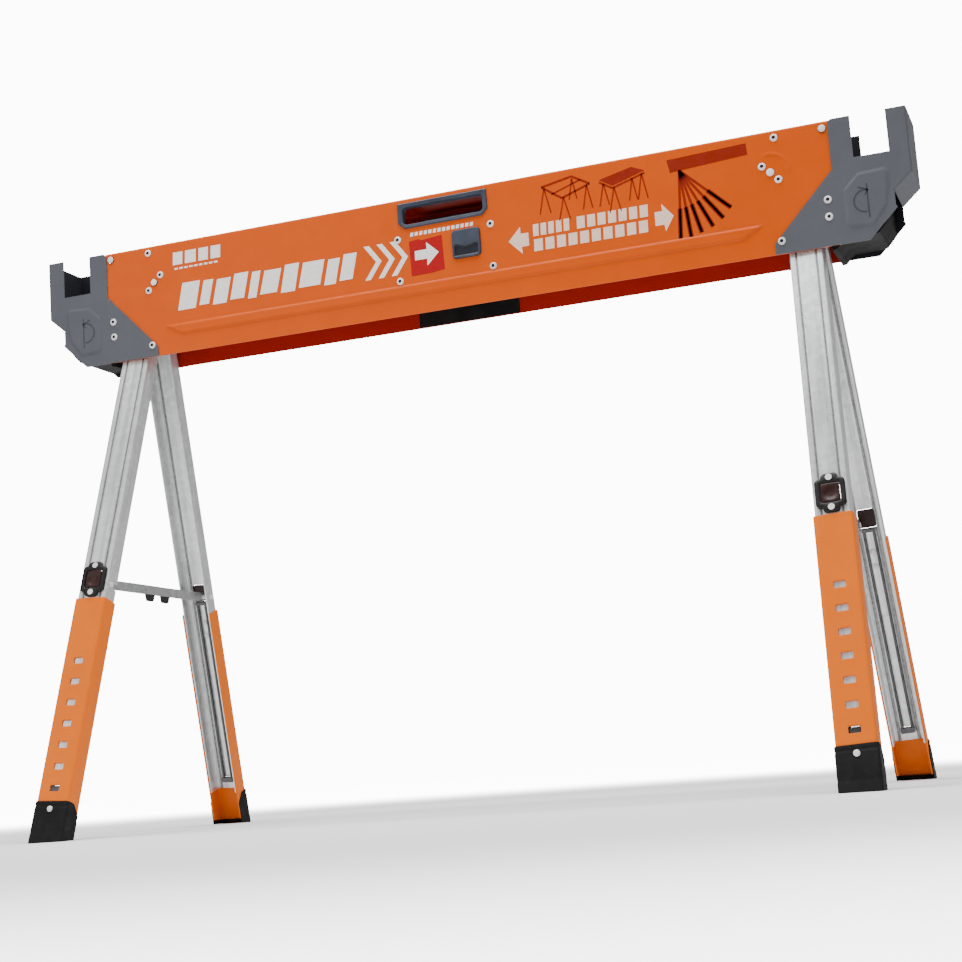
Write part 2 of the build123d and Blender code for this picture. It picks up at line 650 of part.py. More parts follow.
            # chamfered upper corner of the side walls
            with BuildSketch(side_plane(leg, -LOW_W)):
                with BuildLine():
                    Polyline(
                        (f * (BOOT_FACE_N - BOOT_D - 1), u_floor + BOOT_LEN - 12),
                        (f * (BOOT_FACE_N - BOOT_D + 12), u_floor + BOOT_LEN + 1),
                        (f * (BOOT_FACE_N - BOOT_D - 1), u_floor + BOOT_LEN + 1),
                        close=True,
                    )
                make_face()
            extrude(amount=2 * LOW_W, mode=Mode.SUBTRACT)
            split(bisect_by=Plane.XY, keep=Keep.TOP)
            add(sleeve.part, mode=Mode.SUBTRACT)
        boot.part.label = f"boot_{name}"
        export_step(boot.part, f"parts/boot_{name}.step")

        # latch housing on the upper leg, just above the sleeve
        with BuildPart() as latch_housing:
            with BuildSketch(web_plane(leg, f, FACE_N)):
                with Locations((0, latch_u)):
                    RectangleRounded(LATCH_W, LATCH_H - 12, 4)
                    RectangleRounded(LATCH_W - 14, LATCH_H, 5)
                with Locations((0, latch_u)):
                    RectangleRounded(WINDOW_W, WINDOW_H, 3, mode=Mode.SUBTRACT)
            extrude(amount=LATCH_T)
        latch_housing.part.label = f"latch_housing_{name}"
        export_step(latch_housing.part, f"parts/latch_housing_{name}.step")

        # lever pad in the housing's window, hinged along its upper edge
        with BuildPart() as latch_lever:
            with BuildSketch(web_plane(leg, f, FACE_N + LEVER_LIFT)):
                with Locations((0, latch_u)):
                    RectangleRounded(WINDOW_W - 1.2, WINDOW_H - 1.6, 2.4)
            extrude(amount=LEVER_T)
        latch_lever.part.label = f"latch_lever_{name}"
        export_step(latch_lever.part, f"parts/latch_lever_{name}.step")

        # catch and its wire rod, behind the upper leg's web
        rod_top = latch_u - ROD_BELOW
        with BuildPart() as catch_rod:
            for x in (-ROD_HALF, ROD_HALF):
                with BuildSketch(leg.offset(u7 + CATCH_H / 2)):
                    with Locations((x, f * ROD_N)):
                        Circle(ROD_R)
                extrude(amount=rod_top - u7 - CATCH_H / 2)
            with BuildSketch(leg.offset(rod_top)):
                with Locations((0, f * ROD_N)):
                    Rectangle(2 * (ROD_HALF + ROD_R + 0.3), 2 * ROD_R + 0.6)
            extrude(amount=4)
            with BuildSketch(web_plane(leg, f, ROD_N - 3)):
                with Locations((0, u7)):
                    Rectangle(CATCH_W + 6, CATCH_H)
            extrude(amount=CATCH_BACK + 3)
            with BuildSketch(web_plane(leg, f, ROD_N + CATCH_BACK)):
                with Locations((0, u7)):
                    Rectangle(CATCH_W, CATCH_H)
            extrude(amount=FACE_N + 0.1 - ROD_N - CATCH_BACK)
        catch_rod.part.label = f"catch_rod_{name}"
        export_step(catch_rod.part, f"parts/catch_rod_{name}.step")

        # brace half: a flat bar from its pin on the inboard flange to the middle of the pair
        pin_at = leg.from_local_coords(Vector(0, f * BRACE_N[end], brace_u))
        reach = abs(pin_at.Y)
        middle_x = inboard * BAR_IN[side] - f * NEST[end]
        bar_plane = Plane(origin=pin_at + leg.x_dir * middle_x, x_dir=(0, -f, 0), z_dir=leg.x_dir)
        bar_up = bar_plane.y_dir.Z
        with BuildPart() as brace_bar:
            with BuildSketch(bar_plane):
                with Locations((reach / 2, 0)):
                    SlotOverall(reach + BRACE_H, BRACE_H)
                with Locations((reach - 22, -bar_up * (BRACE_H / 2 + GRIP_DROP / 2 - 1))):
                    RectangleRounded(20, GRIP_DROP + 2, 3)
                Circle(BRACE_PIN_R + RUN_GAP, mode=Mode.SUBTRACT)
            extrude(amount=inboard * BRACE_T)
        brace_bar.part.label = f"brace_bar_{name}"
        export_step(brace_bar.part, f"parts/brace_bar_{name}.step")

        # fixings of the upper leg: brace pin and the two latch rivets
        pin_from = middle_x - inboard * 1.0
        pin_to = inboard * (UP_W / 2 + 1.2)
        with BuildPart() as leg_rivets:
            with BuildSketch(side_plane(leg, pin_from)):
                with Locations((f * BRACE_N[end], brace_u)):
                    Circle(BRACE_PIN_R)
            extrude(amount=pin_to - pin_from)
            with BuildSketch(web_plane(leg, f, FACE_N + LATCH_T)):
                for du in (-LATCH_H / 2 + 5.2, LATCH_H / 2 - 5.2):
                    with Locations((0, latch_u + du)):
                        Circle(3.6)
            extrude(amount=0.6)
        leg_rivets.part.label = f"leg_rivets_{name}"
        export_step(leg_rivets.part, f"parts/leg_rivets_{name}.step")
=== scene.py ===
import json
import math

import bmesh
import bpy
import numpy as np
from mathutils import Matrix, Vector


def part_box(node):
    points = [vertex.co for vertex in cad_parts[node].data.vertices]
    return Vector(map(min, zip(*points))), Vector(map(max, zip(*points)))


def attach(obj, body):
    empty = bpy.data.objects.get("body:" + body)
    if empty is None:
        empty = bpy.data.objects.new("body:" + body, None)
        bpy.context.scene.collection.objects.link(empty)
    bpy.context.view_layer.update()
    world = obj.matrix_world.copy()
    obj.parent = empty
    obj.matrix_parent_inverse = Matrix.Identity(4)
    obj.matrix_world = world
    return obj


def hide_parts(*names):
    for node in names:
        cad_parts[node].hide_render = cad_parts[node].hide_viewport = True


bl_info = {
    "name": "Folding sawhorse",
    "version": (1, 0, 0),
    "blender": (4, 5, 0),
    "location": "3D View > Sidebar > Sawhorse",
    "description": "Builds the visible surfaces of a folding sheet-steel sawhorse around its packed model",
    "category": "Object",
}

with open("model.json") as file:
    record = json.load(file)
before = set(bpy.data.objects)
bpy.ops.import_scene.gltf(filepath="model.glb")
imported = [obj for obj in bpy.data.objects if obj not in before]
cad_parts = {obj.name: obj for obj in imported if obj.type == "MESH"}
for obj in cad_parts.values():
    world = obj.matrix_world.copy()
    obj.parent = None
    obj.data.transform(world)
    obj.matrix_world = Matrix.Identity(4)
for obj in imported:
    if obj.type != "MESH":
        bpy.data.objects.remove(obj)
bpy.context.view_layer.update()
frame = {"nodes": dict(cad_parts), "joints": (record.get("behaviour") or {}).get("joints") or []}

MM = 0.001
ENDS = {"left": -1, "right": 1}
SIDES = {"front": -1, "rear": 1}
LEGS = [(side, end) for end in ENDS for side in SIDES]

# beam, in millimetres; depths are measured down from the beam's top
TOP = float(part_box("end_bracket_left")[1].z) / MM
BEAM_HALF = float(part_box("beam_top")[1].x) / MM
BEAM_DEPTH = TOP - float(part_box("beam_front")[0].z) / MM
FACE_Y = 37.5
SHEET_T = 1.3
HANDLE = (56.0, 8.0, 36.0)
BUTTON_AT = np.array([29.0, 71.0])
BUTTON_HALF = np.array([18.5, 18.0])
PINS = np.array([[-475.0, 9.2], [475.0, 9.2], [-410.9, 50.4], [410.9, 50.4]])
PIN_HOLE_R = 4.9
PIN_DOME = np.array([[4.3, 4.3, 3.9, 2.8, 1.4, 0.05], [-0.2, 0.1, 0.35, 0.55, 0.65, 0.68]])
RIB = np.array([[-399.0, 111.4], [399.0, 111.4], [372.0, 126.2], [-372.0, 126.2]])
ARC_R = 22.0

# rivet places as (distance from the middle, depth); each is repeated at both ends and on both faces
PANEL_RIVETS = ((418.6, 9.4), (401.6, 41.6), (419.5, 60.3))
BRACKET_RIVETS = ((473.8, 95.0), (473.4, 115.3), (416.6, 134.7))
HOUSING_RIVETS = ((62.0, 52.0), (62.0, 105.5))

# end brackets
BRACKET_Y = 39.0
BRACKET_T = 1.5
BRACKET_OUTLINE = np.array([
    [481.5, 4.0], [485.5, 0.0], [507.4, 0.0], [507.4, 50.3], [548.1, 50.3], [548.1, 0.0],
    [571.5, 0.0], [571.5, 77.7], [549.3, 97.0], [549.3, 118.3], [517.0, 150.0], [408.4, 150.0],
    [408.4, 137.0], [481.5, 60.5],
])
# depths of the outline's corners, with one just below the end of the bend
BRACKET_LEVELS = (50.3, 60.5, 77.7, 97.0, 97.05)
# the outline that the plates are cut to: open at the outer end, where the plate runs on into its bend
BRACKET_CUT = np.array([
    *BRACKET_OUTLINE[:6], [590.0, 0.0], [590.0, 78.4], *BRACKET_OUTLINE[10:],
])
CAP_MIDDLE = (500.0, 70.0)
CAP_SHRINK = 0.87
PAD_OUTLINE = np.array([
    [510.0, 70.0], [541.0, 68.5], [544.5, 73.0], [544.0, 90.0], [540.0, 112.0], [524.0, 134.0],
    [497.0, 133.0], [492.5, 128.0], [492.5, 87.0],
])

# legs; n is measured outward from the splay hinge, u up along the leg
UPPER = {"width": 39.2, "face": 9.5, "depth": 22.0, "wall": 1.6}
SLEEVE = {"width": 43.2, "face": 11.5, "depth": 24.9, "wall": 1.7}
BOOT = {"width": 46.0, "face": 12.9, "depth": 26.3, "wall": 1.4}
GROOVE_AT = 11.6
LEVER_WINDOW = np.array([10.8, 12.2])
HOLE_PITCH = 26.6
HOLE_COUNT = 7
HOLE_HALF = np.array([6.5, 4.0])
LOWEST_HOLE_Z = 59.0
SLEEVE_ABOVE = 82.0
LATCH_ABOVE = 107.0
BRACE_ABOVE = 103.0
BRACE_N = {"left": 0.3, "right": -4.0}
BRACE_T = 3.0
BRACE_H = 12.0
GRIP = np.array([[-11.5, -4.0], [-8.0, -13.5], [-6.5, -14.6], [6.5, -14.6], [8.0, -13.5], [11.5, -4.0]])
BAR_IN = {"front": 10.8, "rear": 7.2}
NEST = {"left": 3.5, "right": 0.0}

# display colours of the finishes that the panel doesn't list
# painted shade: the beam sheet's inner faces take this darker red, which stands in for the shade inside the
# beam
INSIDE_SHADE_RED = (168, 30, 10)

# camera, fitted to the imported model
CAMERA_AT = (0.757301, -2.070447, 0.044577)
CAMERA_TURN = (19.778, -9.157, -4.015)
LENS_MM = 67.708
GLOW_FROM = (0.8, 3.2)


def srgb(red, green, blue):
    """Linear colour of three 0-255 display values: a straight line near black, and a 2.4 power above it."""
    value = np.array([red, green, blue]) / 255
    return tuple(np.where(value <= 0.04045, value / 12.92, ((value + 0.055) / 1.055) ** 2.4).tolist())


class SawhorseSizes(bpy.types.PropertyGroup):
    """Sizes of the visible detail."""

    edge_radius: bpy.props.FloatProperty(
        name="Beam edge radius", description="Bend radius of the beam's two top edges",
        default=0.0026, min=0.0015, max=0.006, unit="LENGTH", precision=4)
    rib_height: bpy.props.FloatProperty(
        name="Rib height", description="How far the long rib stands proud of the beam's faces",
        default=0.0015, min=0.0, max=0.0025, unit="LENGTH", precision=4)
    pad_height: bpy.props.FloatProperty(
        name="Bracket pad height", description="How far the pad pressed in each end bracket stands proud",
        default=0.0011, min=0.0, max=0.0014, unit="LENGTH", precision=4)
    groove_depth: bpy.props.FloatProperty(
        name="Leg groove depth", description="Depth of the two rolled grooves along each upper leg",
        default=0.0011, min=0.0, max=0.0015, unit="LENGTH", precision=4)
    print_lift: bpy.props.FloatProperty(
        name="Print thickness", description="How far the printed shapes stand off the paint",
        default=0.00018, min=0.00005, max=0.0005, unit="LENGTH", precision=5)


class SawhorseColours(bpy.types.PropertyGroup):
    """Colours of the finishes."""

    beam_paint: bpy.props.FloatVectorProperty(
        name="Beam paint", description="Powder coat of the beam's folded sheet",
        subtype="COLOR", size=3, min=0, max=1, default=srgb(214, 84, 0))
    leg_paint: bpy.props.FloatVectorProperty(
        name="Leg paint", description="Powder coat of the lower leg sleeves",
        subtype="COLOR", size=3, min=0, max=1, default=srgb(228, 108, 8))
    bracket_paint: bpy.props.FloatVectorProperty(
        name="Bracket paint", description="Powder coat of the end brackets",
        subtype="COLOR", size=3, min=0, max=1, default=srgb(88, 91, 97))
    zinc: bpy.props.FloatVectorProperty(
        name="Zinc", description="Plating of the upper legs, yokes and braces",
        subtype="COLOR", size=3, min=0, max=1, default=srgb(228, 230, 230))
    moulding: bpy.props.FloatVectorProperty(
        name="Black moulding", description="Latch housings, end caps and release housing",
        subtype="COLOR", size=3, min=0, max=1, default=srgb(22, 20, 20))
    bezel: bpy.props.FloatVectorProperty(
        name="Grey moulding", description="Handle bezels and release button",
        subtype="COLOR", size=3, min=0, max=1, default=srgb(58, 64, 78))
    rubber: bpy.props.FloatVectorProperty(
        name="Rubber", description="Boots of the four feet",
        subtype="COLOR", size=3, min=0, max=1, default=srgb(16, 15, 16))
    print_white: bpy.props.FloatVectorProperty(
        name="White print", description="White printed shapes",
        subtype="COLOR", size=3, min=0, max=1, default=srgb(255, 250, 244))
    print_red: bpy.props.FloatVectorProperty(
        name="Dark red print", description="Small dark red pictograms",
        subtype="COLOR", size=3, min=0, max=1, default=srgb(140, 30, 4))
    label: bpy.props.FloatVectorProperty(
        name="Label", description="Red label beside the release button",
        subtype="COLOR", size=3, min=0, max=1, default=srgb(176, 6, 14))


class SawhorseStage(bpy.types.PropertyGroup):
    """Floor and light."""

    floor: bpy.props.FloatVectorProperty(
        name="Floor", description="Colour of the plain floor",
        subtype="COLOR", size=3, min=0, max=1, default=(0.86, 0.86, 0.86))
    ambient: bpy.props.FloatProperty(
        name="Ambient light", description="Strength of the even white surroundings",
        default=0.4, min=0.0, max=4.0)
    backdrop: bpy.props.FloatProperty(
        name="Backdrop", description="Brightness of the plain white backdrop behind the sawhorse",
        default=12.0, min=0.0, max=16.0)
    overhead: bpy.props.FloatProperty(
        name="Overhead light", description="Power of the wide soft light above",
        default=165.0, min=0.0, max=1000.0, subtype="POWER", unit="POWER")
    key: bpy.props.FloatProperty(
        name="Key light", description="Power of the soft light in front, to the left",
        default=14.0, min=0.0, max=1000.0, subtype="POWER", unit="POWER")


# ---------------------------------------------------------------- finishes
class Finish:
    """A procedural material in the making: its node tree, its shader and short calls for nodes."""

    def __init__(self, name, colour, roughness, metallic=0.0, coat=0.0, coat_roughness=0.1, specular=0.5):
        self.material = bpy.data.materials.new(name)
        self.material.use_nodes = True
        self.tree = self.material.node_tree
        self.shader = self.tree.nodes["Principled BSDF"]
        self.shader.inputs["Base Color"].default_value = (*colour, 1.0)
        self.shader.inputs["Roughness"].default_value = roughness
        self.shader.inputs["Metallic"].default_value = metallic
        self.shader.inputs["Coat Weight"].default_value = coat
        self.shader.inputs["Coat Roughness"].default_value = coat_roughness
        self.shader.inputs["Specular IOR Level"].default_value = specular
        self.heights = None

    def node(self, kind, **values):
        node = self.tree.nodes.new(kind)
        for key, value in values.items():
            node.inputs[key.replace("_", " ")].default_value = value
        return node

    def join(self, source, target):
        self.tree.links.new(source, target)

    def place(self, stretch, own_map):
        """Coordinates stretched by three factors, from the object's space or the piece's own map."""
        source = self.node("ShaderNodeTexCoord").outputs["UV" if own_map else "Object"]
        mapping = self.node("ShaderNodeMapping", Scale=stretch)
        self.join(source, mapping.inputs["Vector"])
        return mapping.outputs["Vector"]

    def noise(self, scale, detail=3.0, stretch=(1, 1, 1), own_map=False):
        node = self.node("ShaderNodeTexNoise", Scale=scale, Detail=detail)
        self.join(self.place(stretch, own_map), node.inputs["Vector"])
        return node.outputs["Fac"]

    def cells(self, scale, stretch=(1, 1, 1), own_map=False):
        node = self.node("ShaderNodeTexVoronoi", Scale=scale)
        self.join(self.place(stretch, own_map), node.inputs["Vector"])
        split = self.node("ShaderNodeSeparateColor")
        self.join(node.outputs["Color"], split.inputs["Color"])
        return split.outputs["Red"]

    def groove_shade(self):
        """Mask of the painted shade along the two rolled grooves: 1 along them and 0 beside them, by the
        distance across on the piece's own map.
        """
        split = self.node("ShaderNodeSeparateXYZ")
        self.join(self.node("ShaderNodeTexCoord").outputs["UV"], split.inputs["Vector"])
        across = self.tree.nodes.new("ShaderNodeMath")
        across.operation = "ABSOLUTE"
        self.join(split.outputs["X"], across.inputs[0])
        near = self.tree.nodes.new("ShaderNodeMath")
        near.operation = "COMPARE"
        near.inputs[1].default_value = GROOVE_AT * MM
        near.inputs[2].default_value = 0.0011
        self.join(across.outputs["Value"], near.inputs[0])
        return near.outputs["Value"]

    def glow_far(self, strength):
        """Light of the backdrop, stronger further from the origin, so that the floor runs into it."""
        far = self.node("ShaderNodeVectorMath")
        far.operation = "LENGTH"
        self.join(self.node("ShaderNodeTexCoord").outputs["Object"], far.inputs[0])
        share = self.node("ShaderNodeMapRange", From_Min=GLOW_FROM[0], From_Max=GLOW_FROM[1])
        share.interpolation_type = "SMOOTHERSTEP"
        self.join(far.outputs["Value"], share.inputs["Value"])
        seen = self.tree.nodes.new("ShaderNodeMath")
        seen.operation = "MULTIPLY"
        self.join(share.outputs["Result"], seen.inputs[0])
        self.join(self.node("ShaderNodeLightPath").outputs["Is Camera Ray"], seen.inputs[1])
        scaled = self.tree.nodes.new("ShaderNodeMath")
        scaled.operation = "MULTIPLY"
        scaled.inputs[1].default_value = strength
        self.join(seen.outputs["Value"], scaled.inputs[0])
        self.shader.inputs["Emission Color"].default_value = (1.0, 1.0, 1.0, 1.0)
        self.join(scaled.outputs["Value"], self.shader.inputs["Emission Strength"])

    def tint(self, value, colour, low, high, at=(0.3, 0.7)):
        """The colour times low where value is small, and times high where it is large."""
        ramp = self.node("ShaderNodeValToRGB")
        ramp.color_ramp.elements[0].position = at[0]
        ramp.color_ramp.elements[1].position = at[1]
        ramp.color_ramp.elements[0].color = (*[min(1.0, channel * low) for channel in colour], 1.0)
        ramp.color_ramp.elements[1].color = (*[min(1.0, channel * high) for channel in colour], 1.0)
        self.join(value, ramp.inputs["Fac"])
        return ramp.outputs["Color"]

    def blend(self, factor, one, other):
        mix = self.tree.nodes.new("ShaderNodeMix")
        mix.data_type = "RGBA"
        self.join(factor, mix.inputs["Factor"])
        self.join(one, mix.inputs[6])
        self.join(other, mix.inputs[7])
        return mix.outputs[2]

    def colour(self, source):
        self.join(source, self.shader.inputs["Base Color"])

    def roughness(self, value, low, high):
        spread = self.node("ShaderNodeMapRange", To_Min=low, To_Max=high, From_Min=0.3, From_Max=0.7)
        self.join(value, spread.inputs["Value"])
        self.join(spread.outputs["Result"], self.shader.inputs["Roughness"])

    def relief(self, value, depth, strength=1.0):
        """Adds a fine relief of that depth in metres to what the surface already has."""
        bump = self.node("ShaderNodeBump", Distance=depth, Strength=strength)
        self.join(value, bump.inputs["Height"])
        if self.heights is not None:
            self.join(self.heights, bump.inputs["Normal"])
        self.heights = bump.outputs["Normal"]
        self.join(self.heights, self.shader.inputs["Normal"])


def powder_coat(name, colour, gloss=0.34, dust=0.96):
    """Baked powder paint: slow colour drift, faint dusty patches, orange-peel relief and fine grain."""
    f = Finish(name, colour, gloss, coat=0.01, coat_roughness=0.2, specular=0.13)
    drift = f.tint(f.noise(4.5, 4.0), colour, 0.93, 1.05)
    patches = f.tint(f.noise(38.0, 5.0), colour, dust - 0.04, 1.03)
    f.colour(f.blend(f.noise(11.0, 2.0), drift, patches))
    f.roughness(f.noise(26.0, 4.0), gloss - 0.05, gloss + 0.08)
    f.relief(f.noise(520.0, 2.0), 0.00006, 0.45)
    f.relief(f.noise(1900.0, 1.0), 0.00002, 0.3)
    return f.material


def zinc_plate(name, colour):
    """Galvanised strip, on its own map: pale spangles, rolling streaks and painted shade along the grooves.
    """
    f = Finish(name, colour, 0.34, metallic=0.7)
    spangle = f.tint(f.cells(150.0, own_map=True), colour, 0.82, 1.1, at=(0.1, 0.95))
    streaks = f.tint(f.noise(420.0, 3.0, (1.0, 0.015, 1.0), own_map=True), colour, 0.7, 1.12)
    plated = f.blend(f.noise(9.0, 3.0), spangle, streaks)
    # painted shade: the grooves are darkened to 0.24-0.4 of the zinc colour
    f.colour(f.blend(f.groove_shade(), plated, f.tint(f.noise(300.0, 2.0), colour, 0.24, 0.4)))
    f.roughness(f.noise(60.0, 4.0, (1.0, 0.1, 1.0), own_map=True), 0.26, 0.46)
    f.relief(f.noise(700.0, 2.0, (1.0, 0.03, 1.0), own_map=True), 0.00004, 0.5)
    return f.material


def pressed_steel(name, colour, low=0.3, high=0.5):
    """Plated pressed steel: small spangles, cloudy tone and a fine rolled grain."""
    f = Finish(name, colour, 0.4, metallic=0.85)
    f.colour(f.blend(f.noise(22.0, 4.0), f.tint(f.cells(240.0), colour, 0.78, 1.06, at=(0.1, 0.95)),
                     f.tint(f.noise(70.0, 5.0), colour, 0.72, 1.05)))
    f.roughness(f.noise(90.0, 4.0), low, high)
    f.relief(f.noise(900.0, 3.0), 0.00004, 0.5)
    return f.material


def moulding(name, colour, low=0.38, high=0.56, grain=0.00007, shine=0.28):
    """Moulded plastic: spark-eroded grain, cloudy sheen and a slight chalky drift."""
    f = Finish(name, colour, 0.45, specular=shine)
    f.colour(f.tint(f.noise(45.0, 5.0), colour, 0.8, 1.25))
    f.roughness(f.noise(30.0, 3.0), low, high)
    f.relief(f.noise(1300.0, 2.0), grain, 0.6)
    return f.material


def rubber(name, colour):
    """Moulded rubber: matt, with scuffed paler patches and a pebbled grain."""
    f = Finish(name, colour, 0.75, specular=0.2)
    scuffs = f.tint(f.noise(120.0, 6.0, (1.0, 1.0, 0.35)), colour, 0.75, 2.2, at=(0.45, 0.8))
    f.colour(f.blend(f.noise(16.0, 3.0), f.tint(f.noise(30.0), colour, 0.8, 1.2), scuffs))
    f.roughness(f.noise(35.0, 4.0), 0.62, 0.85)
    f.relief(f.cells(620.0), 0.00009, 0.5)
    return f.material


def ink(name, colour):
    """Screen print: nearly even colour with a faint mesh of thinner ink."""
    f = Finish(name, colour, 0.4, specular=0.2)
    f.colour(f.tint(f.noise(260.0, 4.0), colour, 0.9, 1.04))
    f.roughness(f.noise(80.0, 3.0), 0.34, 0.5)
    f.relief(f.noise(1500.0, 2.0), 0.00002, 0.4)
    return f.material


def finish(name):
    """The finish of that name, made the first time that a piece asks for it."""
    full = f"{name}_finish"
    found = bpy.data.materials.get(full)
    if found:
        return found
    colours = bpy.context.scene.sawhorse_colours
    makers = {
        "orange_beam": lambda: powder_coat(full, tuple(colours.beam_paint)),
        # painted shade of the beam sheet's inner faces
        "orange_painted_shade": lambda: powder_coat(full, srgb(*INSIDE_SHADE_RED), gloss=0.5, dust=0.9),
        "orange_leg": lambda: powder_coat(full, tuple(colours.leg_paint), gloss=0.38),
        "bracket_grey": lambda: powder_coat(full, tuple(colours.bracket_paint), gloss=0.42, dust=0.92),
        "zinc_strip": lambda: zinc_plate(full, tuple(colours.zinc)),
        "zinc_pressing": lambda: pressed_steel(full, tuple(0.8 * c for c in colours.zinc)),
        # painted shade: the zinc at 0.62 of its colour, a shaded copy for the brace bars
        "bar_zinc_shade": lambda: pressed_steel(full, tuple(0.62 * c for c in colours.zinc), 0.34, 0.56),
        "bright_metal": lambda: pressed_steel(full, (0.86, 0.86, 0.85), 0.26, 0.4),
        "rivet_metal": lambda: moulding(full, srgb(236, 234, 230), 0.3, 0.45, 0.00002),
        # painted shade in the rivets' bores
        "rivet_bore_shade": lambda: moulding(full, srgb(30, 30, 52), 0.4, 0.6),
        "black_moulding": lambda: moulding(full, tuple(colours.moulding)),
        "grey_moulding": lambda: moulding(full, tuple(colours.bezel), 0.34, 0.5, 0.00004),
        "boot_rubber": lambda: rubber(full, tuple(colours.rubber)),
        "spring_steel": lambda: pressed_steel(full, srgb(96, 98, 104), 0.32, 0.5),
        "white_print": lambda: ink(full, tuple(colours.print_white)),
        "pale_print": lambda: ink(full, srgb(250, 216, 196)),
        "red_print": lambda: ink(full, tuple(colours.print_red)),
        "label_red": lambda: ink(full, tuple(colours.label)),
        # painted shade: near-black for the brackets' inner faces, which stand in shade
        "bracket_painted_shade": lambda: powder_coat(full, srgb(30, 31, 36), gloss=0.5, dust=0.9),
        # painted shade in the release button's finger hollow
        "button_hollow_shade": lambda: moulding(full, srgb(30, 33, 42), 0.4, 0.55, 0.00004),
        "lever_brown": lambda: moulding(full, srgb(44, 20, 16), 0.3, 0.44, 0.00004),
        "cap_black": lambda: moulding(full, srgb(12, 11, 12), 0.5, 0.7, shine=0.12),
        "wire_steel": lambda: pressed_steel(full, srgb(92, 92, 94), 0.3, 0.48),
        # painted shadow: dark red for the swing and corner pins, standing in for the shade in the holes round
        # the white pin domes
        "pin_hole_shadow": lambda: moulding(full, srgb(70, 14, 6), 0.5, 0.7),
        "bracket_mark": lambda: ink(full, srgb(62, 65, 72)),
    }
    return makers[name]()


# ---------------------------------------------------------------- surfaces
def rounded_box(points, centre, half, radius):
    """Signed distance to a rounded rectangle: how far a point passes its inner box, less the radius."""
    past = np.abs(points - centre) - half + radius
    return np.linalg.norm(np.maximum(past, 0), axis=-1) + np.minimum(past.max(-1), 0) - radius


def outline_distance(points, corners):
    """Signed distance to a polygon's nearest edge, negative where a level ray crosses an odd number."""
    start, stop = corners, np.roll(corners, -1, 0)
    edge = stop - start
    offset = points[..., None, :] - start
    share = np.clip((offset * edge).sum(-1) / (edge * edge).sum(-1), 0, 1)
    nearest = np.linalg.norm(offset - share[..., None] * edge, axis=-1).min(-1)
    level = points[..., None, 1]
    spans = (start[:, 1] <= level) != (stop[:, 1] <= level)
    rise = np.where(edge[:, 1] == 0, 1, edge[:, 1])
    meets = start[:, 0] + (level - start[:, 1]) / rise * edge[:, 0]
    inside = (spans & (points[..., None, 0] < meets)).sum(-1) % 2 == 1
    return np.where(inside, -nearest, nearest)


def step(value, low, high):
    """Smooth step: 0 below low, 1 above high, and three squares less two cubes between."""
    share = np.clip((value - low) / (high - low), 0, 1)
    return share * share * (3 - 2 * share)


def grid_quads(rows, cols, wrap_rows=False, wrap_cols=False):
    """Corner numbers of the cells of a rows-by-cols grid, joined round to its start where it wraps."""
    row = np.arange(rows if wrap_rows else rows - 1)[:, None]
    col = np.arange(cols if wrap_cols else cols - 1)[None, :]
    below, beside = (row + 1) % rows, (col + 1) % cols
    corners = (row * cols + col, row * cols + beside, below * cols + beside, below * cols + col)
    return np.stack(np.broadcast_arrays(*corners), -1).reshape(-1, 4)


def trimmed(flat, quads, distance, reach):
    """Cuts a sheet to where distance is negative: cells whose middle is outside go, and points left on
    the cut slide onto it, by their distance along its gradient."""
    quads = quads[distance(flat[quads].mean(1)) < 0]
    uses = np.bincount(quads.ravel(), minlength=len(flat))
    on_cut = (uses > 0) & (uses < 4)
    nudge = 0.05
    for _ in range(2):
        away = distance(flat)
        rises = [distance(flat + way) - distance(flat - way) for way in np.eye(2) * nudge]
        slope = np.stack(rises, -1) / (2 * nudge)
        moves = on_cut & (np.abs(away) < reach)
        flat = np.where(moves[:, None], flat - away[:, None] * slope, flat)
    return flat, quads


def only_used(points, quads, *more):
    """The points that the cells use, with the cells renumbered to them, and more arrays cut the same way."""
    used, numbers = np.unique(quads, return_inverse=True)
    return (points[used], numbers.reshape(quads.shape), *[array[used] for array in more])


def facing_out(points, quads, inside):
    """The cells turned, all together, so that their area-weighted normals point away from an inside point."""
    a, b, c = (points[quads[:, k]] for k in range(3))
    away = (np.cross(b - a, c - a) * (a - inside)).sum()
    return quads if away > 0 else quads[:, ::-1]


def rounded_outline(half_x, half_y, radius, per_corner=6):
    """Rounded rectangle as a closed run of points: a quarter circle at each corner, in turn."""
    turn = np.linspace(0, np.pi / 2, per_corner)
    quarter = radius * np.stack([np.cos(turn), np.sin(turn)], -1)
    ways = ((1, 1), (-1, 1), (-1, -1), (1, -1))
    runs = []
    for count, (sx, sy) in enumerate(ways):
        c, s = math.cos(count * np.pi / 2), math.sin(count * np.pi / 2)
        corner = np.array([sx * (half_x - radius), sy * (half_y - radius)])
        runs.append(quarter @ np.array([[c, s], [-s, c]]) + corner)
    return np.concatenate(runs)


def evened(outline, count):
    """A closed outline shared out again into evenly spaced points along its length."""
    loop = np.concatenate([outline, outline[:1]])
    run = np.concatenate([[0], np.cumsum(np.linalg.norm(np.diff(loop, axis=0), axis=-1))])
    want = np.linspace(0, run[-1], count, endpoint=False)
    return np.stack([np.interp(want, run, loop[:, 0]), np.interp(want, run, loop[:, 1])], -1)


def ray_outline(distance, count, reach=40.0):
    """Outline of a shape seen from its middle: along each of the evenly turned rays, the last point where the
    signed distance is still negative."""
    turn = np.linspace(0, 2 * np.pi, count, endpoint=False)
    ray = np.stack([np.cos(turn), np.sin(turn)], -1)
    along = np.linspace(0, reach, 1601)
    last = (distance(along[:, None, None] * ray) < 0).sum(0) - 1
    return ray * along[last][:, None]


